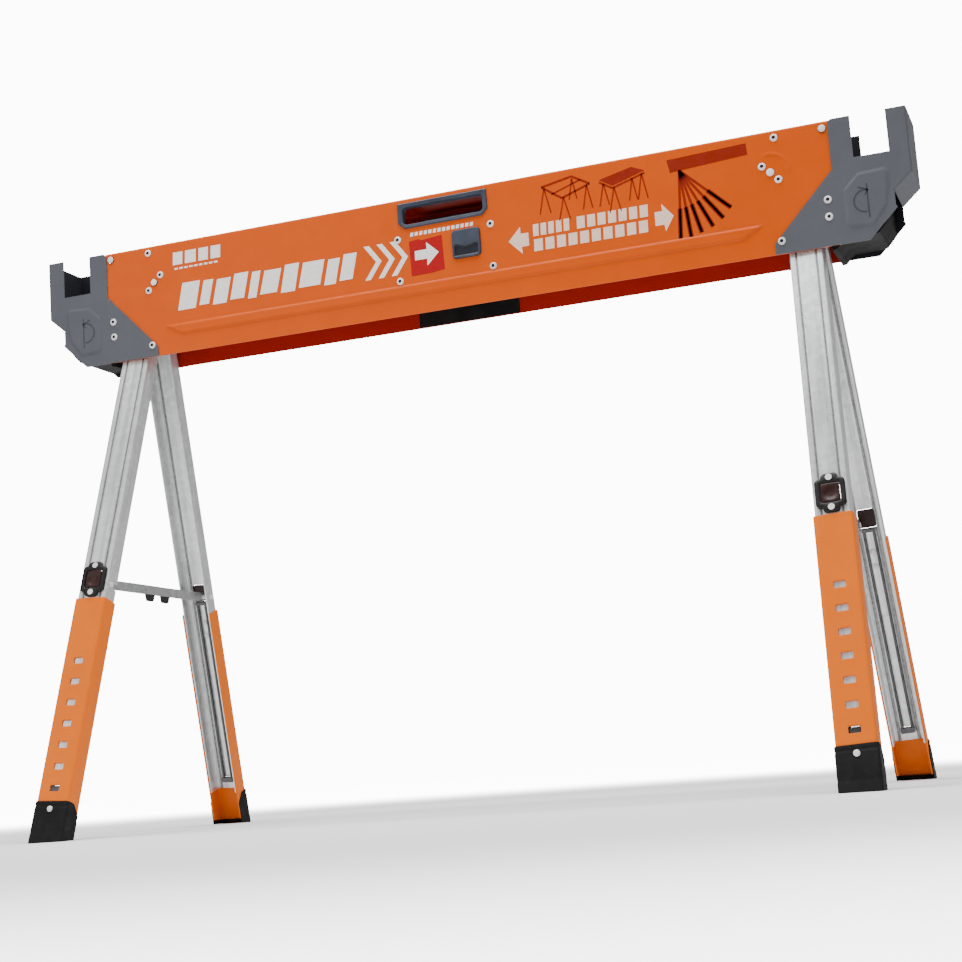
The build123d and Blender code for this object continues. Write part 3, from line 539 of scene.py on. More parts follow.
def circle(radius, count):
    """Circle as a closed run of points: its cosine and sine, times the radius."""
    turn = np.linspace(0, 2 * np.pi, count, endpoint=False)
    return radius * np.stack([np.cos(turn), np.sin(turn)], -1)


def inset(outline, amount):
    """Each point of a closed outline moved inward, square to the chord through its neighbours."""
    chord = np.roll(outline, -1, 0) - np.roll(outline, 1, 0)
    normal = np.stack([chord[:, 1], -chord[:, 0]], -1) / np.linalg.norm(chord, axis=-1, keepdims=True)
    area = (outline[:, 0] * np.roll(outline[:, 1], -1) - outline[:, 1] * np.roll(outline[:, 0], -1)).sum()
    return outline - normal * amount * np.sign(area)


def ring_stack(rings, heights):
    """Surface through a stack of closed outlines: point k of every outline is joined to point k of the next.
    Gives (across, along, height) points and their cells; both ends are closed by one face each."""
    count, around = len(rings), len(rings[0])
    levels = np.broadcast_to(np.asarray(heights, float).reshape(count, -1), (count, around))
    points = np.concatenate([np.stack(rings), levels[..., None]], -1).reshape(-1, 3)
    faces = grid_quads(count, around, wrap_cols=True).tolist()
    faces.append(list(range(around))[::-1])
    faces.append(list(range((count - 1) * around, count * around)))
    return points, faces


def ring_loop(rings, heights):
    """As ring_stack, but the last outline is joined to the first, which gives a frame with a hole in it."""
    count, around = len(rings), len(rings[0])
    levels = np.broadcast_to(np.asarray(heights, float).reshape(count, -1), (count, around))
    points = np.concatenate([np.stack(rings), levels[..., None]], -1).reshape(-1, 3)
    return points, grid_quads(count, around, True, True).tolist()


def joined(parts):
    """Several (points, faces) as one, with the face numbers moved on by the points before them."""
    starts = np.cumsum([0] + [len(points) for points, _ in parts])
    faces = [[int(v) + int(start) for v in face] for start, (_, part) in zip(starts, parts) for face in part]
    return np.concatenate([points for points, _ in parts]), faces


# ---------------------------------------------------------------- pieces
def piece(name, points, faces, finishes, body, replaces=(), wall=0.0, bevel=0.0, index=None, uv=None,
          closed=False, sharp=38.0, shade_inside=False):
    """Puts millimetre points and faces into an object, with a wall and a bevel, and ties it to its body."""
    mesh = bpy.data.meshes.new(name)
    faces = faces.tolist() if isinstance(faces, np.ndarray) else faces
    mesh.from_pydata((np.asarray(points) * MM).tolist(), [], faces)
    for one in finishes:
        mesh.materials.append(finish(one))
    if index is not None:
        mesh.polygons.foreach_set("material_index", np.asarray(index, dtype=np.int32))
    if uv is not None:
        corner = np.empty(len(mesh.loops), np.int32)
        mesh.loops.foreach_get("vertex_index", corner)
        surface = mesh.uv_layers.new(name="Surface").data
        surface.foreach_set("uv", (uv[corner] * MM).astype(np.float32).ravel())
    if closed:
        work = bmesh.new()
        work.from_mesh(mesh)
        bmesh.ops.remove_doubles(work, verts=work.verts, dist=1e-6)
        bmesh.ops.recalc_face_normals(work, faces=work.faces)
        work.to_mesh(mesh)
        work.free()
    made = bpy.data.objects.new(name, mesh)
    bpy.context.scene.collection.objects.link(made)
    if wall:
        shell = made.modifiers.new("Wall", "SOLIDIFY")
        shell.thickness = wall * MM
        shell.offset = -1
        shell.use_even_offset = True
        # the wall's inner faces can take the second finish; the beam and the brackets use this for painted
        # shade on their insides
        shell.material_offset = int(shade_inside)
    if bevel:
        soft = made.modifiers.new("Edge", "BEVEL")
        soft.width = bevel * MM
        soft.segments = 2
        soft.limit_method = "ANGLE"
        soft.angle_limit = math.radians(50)
    if wall or bevel:
        graph = bpy.context.evaluated_depsgraph_get()
        final = bpy.data.meshes.new_from_object(made.evaluated_get(graph))
        made.modifiers.clear()
        made.data = final
        bpy.data.meshes.remove(mesh)
        final.name = name
    made.data.polygons.foreach_set("use_smooth", np.ones(len(made.data.polygons), bool))
    made.data.set_sharp_from_angle(angle=math.radians(sharp))
    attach(made, body)
    if replaces:
        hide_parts(*replaces)
    return made


def on_face(side):
    """Puts (x, depth, height) points on the beam's front or rear; height is out from the middle plane."""
    f = SIDES[side]
    return lambda p: np.stack([p[:, 0], f * p[:, 2], TOP - p[:, 1]], -1)


JOINTS = {joint["name"]: joint for joint in frame["joints"]}


def leg_axes(side, end):
    """A leg's frame from its joints: hinge point in mm, and unit vectors across, outward and up the leg."""
    f = SIDES[side]
    hinge = JOINTS[f"splay_{side}_{end}"]
    across = f * np.array(hinge["axis"], float)
    up = -np.array(JOINTS[f"height_{side}_{end}"]["axis"], float)
    return np.array(hinge["pos_m"], float) / MM, across, f * np.cross(up, across), up


def on_leg(side, end):
    """Puts (across, outward, up) points of a leg in the model's space."""
    origin, across, out, up = leg_axes(side, end)
    return lambda p: origin + p[:, :1] * across + p[:, 1:2] * out + p[:, 2:3] * up


def hole_heights(side, end):
    """Places up the leg of the lowest and the highest height hole."""
    origin, _, _, up = leg_axes(side, end)
    lowest = (LOWEST_HOLE_Z - origin[2]) / up[2]
    return lowest, lowest + (HOLE_COUNT - 1) * HOLE_PITCH


def down_to(side, end, across, out, level):
    """Place up the leg where a line at these across and outward places meets a level above the floor."""
    origin, ex, n, up = leg_axes(side, end)
    return (level - origin[2] - across * ex[2] - out * n[2]) / up[2]


def channel(width, face, depth, radius, web_step, flange_cells):
    """Section of a channel as (across, outward) points: up one flange, round a quarter circle, over the web,
    round another and down the other flange. Also gives the length run so far, counted from the middle of the
    section."""
    half, back = width / 2, face - depth
    turn = np.linspace(0, np.pi / 2, 6)
    flange = np.linspace(back, face - radius, flange_cells)
    bend = np.stack([half - radius + radius * np.cos(turn), face - radius + radius * np.sin(turn)], -1)
    web = np.linspace(half - radius, -half + radius, int(round((width - 2 * radius) / web_step)) + 1)
    near = np.concatenate([np.stack([np.full(flange_cells, half), flange], -1), bend[1:]])
    far = near[::-1] * [-1, 1]
    section = np.concatenate([near, np.stack([web[1:-1], np.full(len(web) - 2, face)], -1), far])
    run = np.concatenate([[0], np.cumsum(np.linalg.norm(np.diff(section, axis=0), axis=-1))])
    return section, run - run[-1] / 2


def beam_section(run, radius):
    """Beam section at a distance run round it from the front top corner: down the front where it is negative,
    along the top, then down the rear; each corner is a quarter circle. Gives y, depth and the
    outward normal."""
    mirrored = np.where(run > FACE_Y, -1.0, 1.0)
    near = FACE_Y - np.abs(run - FACE_Y)
    turn = np.clip((near + radius) / (2 * radius), 0, 1) * np.pi / 2
    y = -FACE_Y + radius - radius * np.cos(turn) + np.maximum(near - radius, 0)
    depth = radius - radius * np.sin(turn) + np.maximum(-near - radius, 0)
    return y * mirrored, depth, -np.cos(turn) * mirrored, np.sin(turn)


class SAWHORSE_OT_beam(bpy.types.Operator):
    """Bend the beam's sheet, press its rib and cut its openings"""
    bl_idname = "sawhorse.beam"
    bl_label = "Beam sheet"

    def execute(self, context):
        sizes = context.scene.sawhorse_sizes
        radius, rib = sizes.edge_radius / MM, sizes.rib_height / MM
        cell = 1.8
        ends = np.arange(368.0, BEAM_HALF, cell)
        x = np.unique(np.concatenate([
            np.linspace(-BEAM_HALF, BEAM_HALF, 70), np.arange(7.0, 52.0, cell), ends, -ends,
            [-HANDLE[0], HANDLE[0]]]))
        depths = np.unique(np.concatenate([
            np.linspace(radius, BEAM_DEPTH, 22), np.arange(radius, 17.0, cell), np.arange(26.0, 93.0, cell),
            np.arange(108.0, 129.0, 1.3), HANDLE[1:]]))
        x = x[np.append(True, np.diff(x) > 0.3)]
        depths = depths[np.append(True, np.diff(depths) > 0.3)]
        corner = np.linspace(-radius, radius, 6)[1:-1]
        top = np.linspace(radius, 2 * FACE_Y - radius, 8)
        run = np.concatenate([-depths[::-1], corner, top, 2 * FACE_Y + corner, 2 * FACE_Y + depths])
        flat = np.stack(np.meshgrid(x, run, indexing="ij"), -1).reshape(-1, 2)

        def cut(p):
            """Positive in the handle, the front's button opening and the pin holes, negative in the sheet."""
            rear = p[..., 1] > FACE_Y
            face = np.stack([p[..., 0], np.where(rear, p[..., 1] - 2 * FACE_Y, -p[..., 1])], -1)
            middle = np.array([0.0, (HANDLE[1] + HANDLE[2]) / 2])
            handle = rounded_box(face, middle, np.array([HANDLE[0], (HANDLE[2] - HANDLE[1]) / 2]), 0.01)
            button = rounded_box(face, BUTTON_AT, BUTTON_HALF + 0.5, 5.5) + np.where(rear, 1000.0, 0.0)
            pins = np.linalg.norm(face[..., None, :] - PINS, axis=-1).min(-1) - PIN_HOLE_R
            return -np.minimum(np.minimum(handle, button), pins)

        flat, quads = trimmed(flat, grid_quads(len(x), len(run)), cut, 1.6)
        y, depth, ny, nz = beam_section(flat[:, 1], radius)
        face = np.stack([flat[:, 0], depth], -1)
        on_sides = np.abs(ny) > 0.99
        raised = rib * (1 - step(outline_distance(face, RIB), -2.2, 0.2))
        from_pin = face - PINS[3]
        angle = np.degrees(np.arctan2(-from_pin[:, 1], from_pin[:, 0]))
        away = np.linalg.norm(from_pin, axis=-1) - ARC_R
        raised += 0.9 * np.exp(-(away / 1.5) ** 2) * step(angle, -12, 2) * (1 - step(angle, 96, 112))
        raised *= on_sides
        points = np.stack([flat[:, 0], y + ny * raised, TOP - depth + nz * raised], -1)
        points, quads = only_used(points, quads)
        quads = facing_out(points, quads, np.array([0.0, 0.0, TOP - BEAM_DEPTH / 2]))
        # the sheet's inner faces take the second finish, which is painted shade
        piece("beam_sheet", points, quads, ["orange_beam", "orange_painted_shade"], "beam",
              ["beam_top", "beam_front", "beam_rear"], wall=SHEET_T, shade_inside=True)
        return {"FINISHED"}


def bar(x0, x1, d0, d1, slant=0.0):
    """Printed bar: a box whose top edge is moved along by the slant."""
    return np.array([[x0 + slant, d0], [x1 + slant, d0], [x1, d1], [x0, d1]])


def stroke(start, stop, width):
    """Printed line: a box of that width from one point to another."""
    start, stop = np.array(start, float), np.array(stop, float)
    way = (stop - start) / np.linalg.norm(stop - start)
    side = np.array([-way[1], way[0]]) * width / 2
    return np.array([start + side, stop + side, stop - side, start - side])


def chevron(x, d0, d1, reach, width):
    """Printed chevron: two slanted runs that meet at a point, in one outline."""
    middle = (d0 + d1) / 2
    return np.array([[x, d0], [x + width, d0], [x + reach + width, middle], [x + width, d1], [x, d1],
                     [x + reach, middle]])


def arc_stroke(centre, radius, width, first, last, count=18):
    """Printed arc: an outer run of points on a circle and an inner run back, angles in degrees."""
    turn = np.radians(np.linspace(first, last, count))
    ring = np.stack([np.cos(turn), -np.sin(turn)], -1)
    return np.concatenate([ring * (radius + width / 2), ring[::-1] * (radius - width / 2)]) + np.array(centre)


def trestle(x, depth, spread, height, width=1.6):
    """Printed pair of legs: two lines from one point to the floor."""
    foot = depth + height
    return [stroke((x, depth), (x - spread, foot), width), stroke((x, depth), (x + spread, foot), width)]


def block_row(places, d0, d1, slant=0.0):
    """Row of printed bars from (start, width) pairs."""
    return [bar(x, x + w, d0, d1, slant) for x, w in places]


def evenly(start, stop, count, fill):
    """Evenly spaced (start, width) pairs that fill that share of the length."""
    pitch = (stop - start) / count
    return [(start + pitch * k, pitch * fill) for k in range(count)]


def printed(name, shapes, ink_name, lift, side="front", base=FACE_Y, thick=0.12):
    """Flat shapes of ink on a face: each outline is one face, with a thin wall under it."""
    parts, start = [], 0
    faces = []
    for shape in shapes:
        parts.append(np.concatenate([shape, np.full((len(shape), 1), base + lift)], -1))
        faces.append(list(range(start, start + len(shape))))
        start += len(shape)
    points = on_face(side)(np.concatenate(parts))
    out = np.array([0, SIDES[side], 0])
    turned = []
    for face in faces:
        a, b = points[face], np.roll(points[face], -1, 0)
        turned.append(face if np.cross(a, b).sum(0) @ out > 0 else face[::-1])
    return piece(name, points, turned, [ink_name], "beam", wall=thick, sharp=30)


class SAWHORSE_OT_print(bpy.types.Operator):
    """Lay the printed shapes and the label on the beam's front"""
    bl_idname = "sawhorse.print"
    bl_label = "Beam print"

    def execute(self, context):
        lift = context.scene.sawhorse_sizes.print_lift / MM
        slant = 8.0
        widths = (26.0, 14.0, 20.0, 20.0, 12.0, 24.0, 20.0, 30.0, 16.0, 18.0)
        gap = 5.6
        starts = -377.0 + np.concatenate([[0], np.cumsum(np.array(widths) + gap)[:-1]])
        big = [bar(x, x + w, 58.0 + 1.5 * (k % 3), 94.0 - 2.5 * (k % 2), slant)
               for k, (x, w) in enumerate(zip(starts, widths))]
        big += [chevron(x, 53.0, 97.0, 16.0, 7.5) for x in (-109.0, -91.0, -73.0)]
        small = block_row(((-382.0, 14.0), (-364.0, 16.0), (-344.0, 14.0), (-326.0, 14.0)), 15.0, 32.0, 1.0)
        small += block_row(evenly(-380.0, -314.0, 9, 0.7), 36.0, 38.4)
        dashes = block_row(evenly(-45.0, 41.0, 14, 0.66), 45.6, 50.4, 0.8)
        printed("print_white", big + small + dashes, "white_print", lift)

        arrows = [
            np.array([[84.0, 79.0], [100.0, 62.5], [100.0, 71.5], [110.0, 71.5], [110.0, 88.0],
                      [100.5, 88.0], [101.0, 97.0]]),
            np.array([[292.0, 82.0], [278.0, 65.0], [278.5, 74.0], [269.0, 74.0], [269.0, 91.0],
                      [280.0, 91.0], [281.0, 99.5]]),
        ]
        caption = block_row(evenly(116.0, 165.0, 5, 0.72), 62.5, 77.5, 0.6)
        caption += block_row(evenly(172.0, 264.0, 7, 0.76), 62.5, 77.5, 0.6)
        caption += block_row(evenly(116.0, 263.0, 10, 0.76), 81.5, 96.5, 0.6)
        printed("print_pale", arrows + caption, "pale_print", lift)

        frame_top = [stroke((131, 18), (170, 11), 2.6), stroke((170, 11), (192, 24), 2.6),
                     stroke((192, 24), (156, 36), 2.6), stroke((156, 36), (131, 18), 2.6),
                     stroke((143, 29), (181, 17), 1.8)]
        for place in ((134, 20, 7, 32), (158, 35, 7, 29), (170, 14, 5, 26), (188, 25, 6, 30)):
            frame_top += trestle(*place)
        table = [np.array([[204, 22], [245, 13], [261, 20], [220, 32]], float),
                 stroke((204, 25), (220, 35), 2.4), stroke((220, 35), (261, 23), 2.4)]
        for place in ((209, 27, 6, 28), (222, 34, 7, 31), (245, 27, 5, 27), (257, 23, 6, 32)):
            table += trestle(*place)
        fan = [np.array([[289, 13], [385, 10], [386, 24], [292, 29]], float)]
        hub = np.array([303.0, 28.0])
        for tip in ((298, 113), (311, 112), (324, 108), (338, 103), (351, 95), (361, 84)):
            tip = np.array(tip, float)
            fan += [stroke(hub, tip, 3.0), stroke(hub + 0.55 * (tip - hub), tip, 5.6)]
        printed("print_red", frame_top + table + fan, "red_print", lift)

        tag = [np.array([[-47.0, 56.5], [-33.0, 55.5], [-32.0, 57.5], [-3.0, 55.0], [-1.5, 99.0],
                         [-18.0, 101.0], [-46.0, 101.5]])]
        printed("label", tag, "label_red", lift)
        sign = [np.array([[-40, 70], [-24, 70], [-24, 61], [-8, 76], [-24, 91], [-24, 82], [-40, 82]], float)]
        printed("label_sign", sign, "white_print", 2 * lift)

        for side, end in LEGS:
            s = ENDS[end]
            marks = [arc_stroke((516 * s, 104), 13.0, 1.6, 70, 275) if s > 0 else
                     arc_stroke((516 * s, 104), 13.0, 1.6, -95, 110),
                     stroke((s * 519, 84), (s * 519, 124), 1.6),
                     stroke((s * 509, 87), (s * 520, 91.5), 1.6), stroke((s * 516, 97), (s * 520, 91.5), 1.6)]
            pad = context.scene.sawhorse_sizes.pad_height / MM
            printed(f"bracket_mark_{side}_{end}", marks, "bracket_mark", lift, side,
                    BRACKET_Y + pad, 0.1)
        return {"FINISHED"}


class SAWHORSE_OT_brackets(bpy.types.Operator):
    """Fold the two grey end brackets, with their notches and pressed pads"""
    bl_idname = "sawhorse.brackets"
    bl_label = "End brackets"

    def execute(self, context):
        pad = context.scene.sawhorse_sizes.pad_height / MM
        cell, bend = 1.6, 2.6
        low, high = BRACKET_OUTLINE[:, 0].min(), BRACKET_OUTLINE[:, 0].max()
        depths = np.unique(np.concatenate([np.arange(0, BEAM_DEPTH, cell), BRACKET_LEVELS, [BEAM_DEPTH]]))
        plate = np.unique(np.concatenate([np.arange(low, high - bend, cell), [high - bend, 507.4, 548.1]]))
        share = (plate - low) / (high - bend - low)
        turn = np.linspace(0, np.pi / 2, 6)[1:-1]
        web = np.linspace(-BRACKET_Y + bend, BRACKET_Y - bend, 16)
        edge = np.interp(depths, [0, 77.7, 97.0, 150.0], [high, high, 549.3, 549.3])[:, None]
        x_plate = low + share * (edge - bend - low)
        x_bend = edge - bend + bend * np.sin(turn)
        x_web = np.tile(edge, (1, len(web)))
        x = np.concatenate([x_plate, x_bend, x_web, x_bend[:, ::-1], x_plate[:, ::-1]], 1)
        y_bend = -BRACKET_Y + bend - bend * np.cos(turn)
        y_plate = np.full(len(share), BRACKET_Y)
        y = np.concatenate([-y_plate, y_bend, web, -y_bend[::-1], y_plate])
        d = np.broadcast_to(depths[:, None], x.shape)
        flat_below = (d > 97.0) & (x > edge - bend - 0.01) & (np.abs(y) > BRACKET_Y - bend)
        y = np.where(flat_below, np.sign(y) * BRACKET_Y, y)
        face = np.stack([x, d], -1).reshape(-1, 2)
        on_plate = np.abs(y).reshape(-1) > BRACKET_Y - 0.01

        def cut(p):
            """Signed distance to the bracket's outline, so positive outside it and in the notch."""
            return outline_distance(p, BRACKET_CUT)

        quads = grid_quads(*x.shape)
        plates = on_plate[quads].all(1)
        snapped, kept = trimmed(face, quads[plates], cut, 2.4)
        sides = quads[~plates]
        sides = sides[face[sides][:, :, 1].mean(1) < 97.0]
        face = np.where(on_plate[:, None], snapped, face)
        quads = np.concatenate([kept, sides])
        proud = pad * (1 - step(outline_distance(face, PAD_OUTLINE), -2.4, 0.4)) * on_plate
        points = np.stack([face[:, 0], y.reshape(-1) + np.sign(y.reshape(-1)) * proud, TOP - face[:, 1]], -1)
        points, quads = only_used(points, quads)

        across = np.linspace(-BRACKET_Y + 0.2, BRACKET_Y - 0.2, 12)
        seat_x = np.concatenate([[506.0, 506.0], np.linspace(507.6, 547.9, 10), [549.5, 549.5]])
        seat_d = np.concatenate([[72.0, 51.9], np.full(10, 50.3), [51.9, 72.0]])
        seat = np.stack([*np.broadcast_arrays(seat_x[:, None], across[None, :], TOP - seat_d[:, None])], -1)
        seat_points, seat_quads = seat.reshape(-1, 3), grid_quads(len(seat_x), len(across))
        for end, s in ENDS.items():
            mirror = np.array([s, 1, 1])
            inside = np.array([s * 500.0, 0.0, TOP - 90.0])
            shell = facing_out(points * mirror, quads, inside)
            tray = facing_out(seat_points * mirror, seat_quads, inside)
            both = np.concatenate([points * mirror, seat_points * mirror])
            # the brackets' inner faces take the second finish, which is painted shade
            piece(f"bracket_{end}", both, np.concatenate([shell, tray + len(points)]),
                  ["bracket_grey", "bracket_painted_shade"], "beam", [f"end_bracket_{end}"],
                  wall=BRACKET_T, bevel=0.3, shade_inside=True)

            cap = frame["nodes"][f"end_cap_{end}"].data
            corners = np.empty(len(cap.vertices) * 3, np.float32)
            cap.vertices.foreach_get("co", corners)
            triangles = np.empty(len(cap.loops), np.int32)
            cap.loops.foreach_get("vertex_index", triangles)
            corners = corners.reshape(-1, 3).astype(float) / MM
            middle = np.array([s * CAP_MIDDLE[0], 0.0, TOP - CAP_MIDDLE[1]])
            corners = middle + (corners - middle) * np.array([CAP_SHRINK, 1.0, CAP_SHRINK])
            piece(f"cap_{end}", corners, triangles.reshape(-1, 3), ["cap_black"], "beam",
                  [f"end_cap_{end}"], closed=True, sharp=30)
        return {"FINISHED"}


def rivets(name, places, base, replaces):
    """Domed pop rivets: a dome's profile turned about each place, with painted shade in the bore at its
    middle.
    """
    radii = np.array([4.6, 4.6, 4.35, 3.6, 2.7, 2.1, 1.9, 1.8, 0.02])
    rise = np.array([-0.4, 0.25, 0.75, 1.2, 1.42, 1.42, 1.2, 0.5, 0.45])
    # rings from this one inward take the near-black of the bore, which is painted shade
    shade_from = 5
    parts, index = [], []
    around = 20
    for x, depth in places:
        for s in ENDS.values():
            for side in SIDES:
                rings = [circle(r, around) + np.array([s * x, depth]) for r in radii]
                points, faces = ring_stack(rings, base + rise)
                parts.append((on_face(side)(points), faces))
                cells = np.repeat(np.arange(len(radii) - 1) >= shade_from, around)
                index.append(np.concatenate([cells, [False, True]]).astype(int))
    points, faces = joined(parts)
    piece(name, points, faces, ["rivet_metal", "rivet_bore_shade"], "beam", replaces,
          index=np.concatenate(index), closed=True, sharp=50)


def leg_rivet(side, end, across, up, base, radius, inward=False):
    """Low domed rivet on a leg's web: a dome's profile turned about an axis square to the web."""
    radii = radius * np.array([1.0, 1.0, 0.9, 0.66, 0.36, 0.04])
    rise = radius * np.array([-0.12, 0.12, 0.3, 0.43, 0.5, 0.52])
    rings = [circle(r, 18) + np.array([across, up]) for r in radii]
    points, faces = ring_stack(rings, -rise if inward else rise)
    return on_leg(side, end)(np.stack([points[:, 0], base + points[:, 2], points[:, 1]], -1)), faces


class SAWHORSE_OT_fixings(bpy.types.Operator):
    """Turn the domed rivets of the beam"""
    bl_idname = "sawhorse.fixings"
    bl_label = "Rivets"

    def execute(self, context):
        rivets("rivets_panel", PANEL_RIVETS, FACE_Y, ["panel_rivets"])
        rivets("rivets_bracket", BRACKET_RIVETS, BRACKET_Y, ["bracket_rivets"])
        rivets("rivets_housing", HOUSING_RIVETS, FACE_Y, ["housing_rivets"])
        domes = []
        for (x, depth), node in zip(PINS[[1, 3]], ("corner_pins", "swing_pin_left")):
            base = -float(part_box(node)[0].y) / MM
            for s in ENDS.values():
                for side in SIDES:
                    rings = [circle(r, 20) + np.array([s * x, depth]) for r in PIN_DOME[0]]
                    points, faces = ring_stack(rings, base + PIN_DOME[1])
                    domes.append((on_face(side)(points), faces))
        points, faces = joined(domes)
        piece("pin_domes", points, faces, ["rivet_metal"], "beam", closed=True, sharp=50)
        web_inside = UPPER["face"] - UPPER["wall"]
        for side, end in LEGS:
            floor_u = down_to(side, end, 0.0, BOOT["face"], 0.0)
            points, faces = leg_rivet(side, end, 0.0, floor_u + 40.5, BOOT["face"], 3.6)
            piece(f"boot_rivet_{side}_{end}", points, faces, ["rivet_metal"], f"lower_{side}_{end}",
                  closed=True, sharp=60)
            _, highest = hole_heights(side, end)
            points, faces = joined([leg_rivet(side, end, 0.0, highest + up, web_inside, 3.6, True)
                                    for up in (66.0, 48.0)])
            piece(f"web_rivets_{side}_{end}", points, faces, ["rivet_metal"], f"upper_{side}_{end}",
                  closed=True, sharp=60)
        return {"FINISHED"}


class SAWHORSE_OT_handle(bpy.types.Operator):
    """Mould the handle bezels and the release button"""
    bl_idname = "sawhorse.handle"
    bl_label = "Handle and button"

    def execute(self, context):
        middle = np.array([0.0, 22.8])
        inner = rounded_outline(53.4, 11.4, 5.5)
        outer = rounded_outline(59.8, 16.6, 1.2)
        chamfer = np.linspace([59.8, 8.8], [52.0, 16.6], 6)
        outer[:6] = chamfer
        outer[6:12] = chamfer[::-1] * [-1, 1]
        shares = np.array([0.0, 0.0, 0.16, 0.3, 0.5, 0.78, 0.95, 1.0, 1.0, 0.72, 0.7])
        heights = np.array([FACE_Y, 38.3, 39.4, 39.5, 38.9, 38.9, 38.6, 37.9, 28.8, 28.8, FACE_Y])
        for side in SIDES:
            rings = [outer * (1 - w) + inner * w + middle for w in shares]
            points, faces = ring_loop(rings, heights)
            piece(f"bezel_{side}", on_face(side)(points), faces, ["grey_moulding"], "beam",
                  [f"handle_bezel_{side}"], closed=True, sharp=55)

        outline = evened(rounded_outline(*BUTTON_HALF, 5.0, 9), 112)
        scales = np.array([1.0, 1.0, 0.985, 0.95, 0.9, 0.84, 0.76, 0.68, 0.6, 0.52, 0.44, 0.36, 0.27, 0.18,
                           0.09])
        base = np.array([34.8, 39.2, 39.75, 40.0, *[40.05] * (len(scales) - 4)])
        rings = [outline * w for w in scales]
        across = np.stack([ring[:, 0] for ring in rings])
        along = np.stack([ring[:, 1] for ring in rings])
        lip = 1.2 + 1.3 * np.cos(across / 3.6)
        inward = np.clip((np.minimum(16.4 - np.abs(across), 15.8 - along)) / 1.6, 0, 1)
        hollow = 2.4 * step(along, lip, lip + 2.2) * inward * inward
        crown = 0.35 * np.cos(np.clip(along / 16, -1, 1) * 1.4)
        levels = base[:, None] - hollow + crown * (scales[:, None] < 0.97)
        points, faces = ring_stack([ring + BUTTON_AT for ring in rings], levels)
        # cells deep in the finger hollow take the darker second finish, which is painted shade
        deep = (hollow[:-1] + hollow[1:]) / 2 > 1.2
        index = np.concatenate([deep.reshape(-1), [False, bool(hollow[-1].mean() > 1.2)]]).astype(int)
        piece("button", on_face("front")(points), faces, ["grey_moulding", "button_hollow_shade"], "release_button",
              ["release_button"], index=index, closed=True, sharp=40)
        return {"FINISHED"}


class SAWHORSE_OT_upper_legs(bpy.types.Operator):
    """Roll the zinc-plated upper legs"""
    bl_idname = "sawhorse.upper_legs"
    bl_label = "Upper legs"

    def execute(self, context):
        groove = context.scene.sawhorse_sizes.groove_depth / MM
        section, run = channel(UPPER["width"], UPPER["face"], UPPER["depth"], 2.4, 0.85, 7)
        across, out = section.T
        bend, back = UPPER["face"] - 2.4, UPPER["face"] - UPPER["depth"]

        def sunk(x, n):
            """Depth of the two rolled grooves and of the faint middle one, as bell curves across the web."""
            bells = np.exp(-((np.abs(x) - GROOVE_AT) / 1.5) ** 2) + 0.3 * np.exp(-(x / 3.2) ** 2)
            return groove * bells * (n > UPPER["face"] - 0.01)

        for side, end in LEGS:
            lowest, highest = hole_heights(side, end)
            pin, latch = highest + BRACE_ABOVE, highest + LATCH_ABOVE
            up = np.concatenate([np.linspace(7.0, -16.0, 10), np.linspace(-16.8, -21.0, 8),
                                 np.linspace(-26.0, latch + 14.0, 24),
                                 np.arange(latch - 14.0, latch + 14.0, 1.3),
                                 np.arange(lowest - 6.0, lowest + 6.0, 1.3),
                                 np.linspace(latch - 15.0, lowest - 13.0, 36)])
            up = np.sort(up)[::-1]
            up = up[np.append(True, np.diff(up) < -0.4)]
            trim = -4.5 + (back + 4.5) * step(-up, 16.0, 21.0)
            flange = np.clip((bend - out) / (bend - back), 0, None)
            near_pin = np.abs(up - pin) < 4.2
            relief = near_pin[:, None] & (across * -ENDS[end] > 0) & (NEST[end] > 0) & (side == "front")
            edge = np.where(relief, -5.8, trim[:, None])
            n = np.where(out < bend, bend - flange * (bend - edge), out)
            x, n, rows = (part.reshape(-1) for part in np.broadcast_arrays(across[None, :], n, up[:, None]))
            flat = np.stack([np.broadcast_to(run[None, :], (len(up), len(run))).reshape(-1), rows], -1)

            def cut(p):
                """Positive in the lever's window and the catch hole."""
                window = rounded_box(p, np.array([0.0, latch]), LEVER_WINDOW, 3.0)
                return -np.minimum(window, rounded_box(p, np.array([0.0, lowest]), HOLE_HALF, 0.5))

            on_web = np.abs(flat[:, 0]) < UPPER["width"] / 2 - 3.0
            slid, quads = trimmed(flat, grid_quads(len(up), len(section)), cut, 1.4)
            flat = np.where(on_web[:, None], slid, flat)
            x = np.where(on_web, np.interp(flat[:, 0], run, across), x)
            place = on_leg(side, end)
            points = place(np.stack([x, n - sunk(x, n), flat[:, 1]], -1))
            inside = place(np.array([[0.0, -2.0, -200.0]]))[0]
            points, quads, flat = only_used(points, quads, flat)
            quads = facing_out(points, quads, inside)
            piece(f"leg_upper_{side}_{end}", points, quads, ["zinc_strip"], f"upper_{side}_{end}",
                  [f"upper_leg_{side}_{end}"], wall=UPPER["wall"], bevel=0.25, uv=flat)
        return {"FINISHED"}


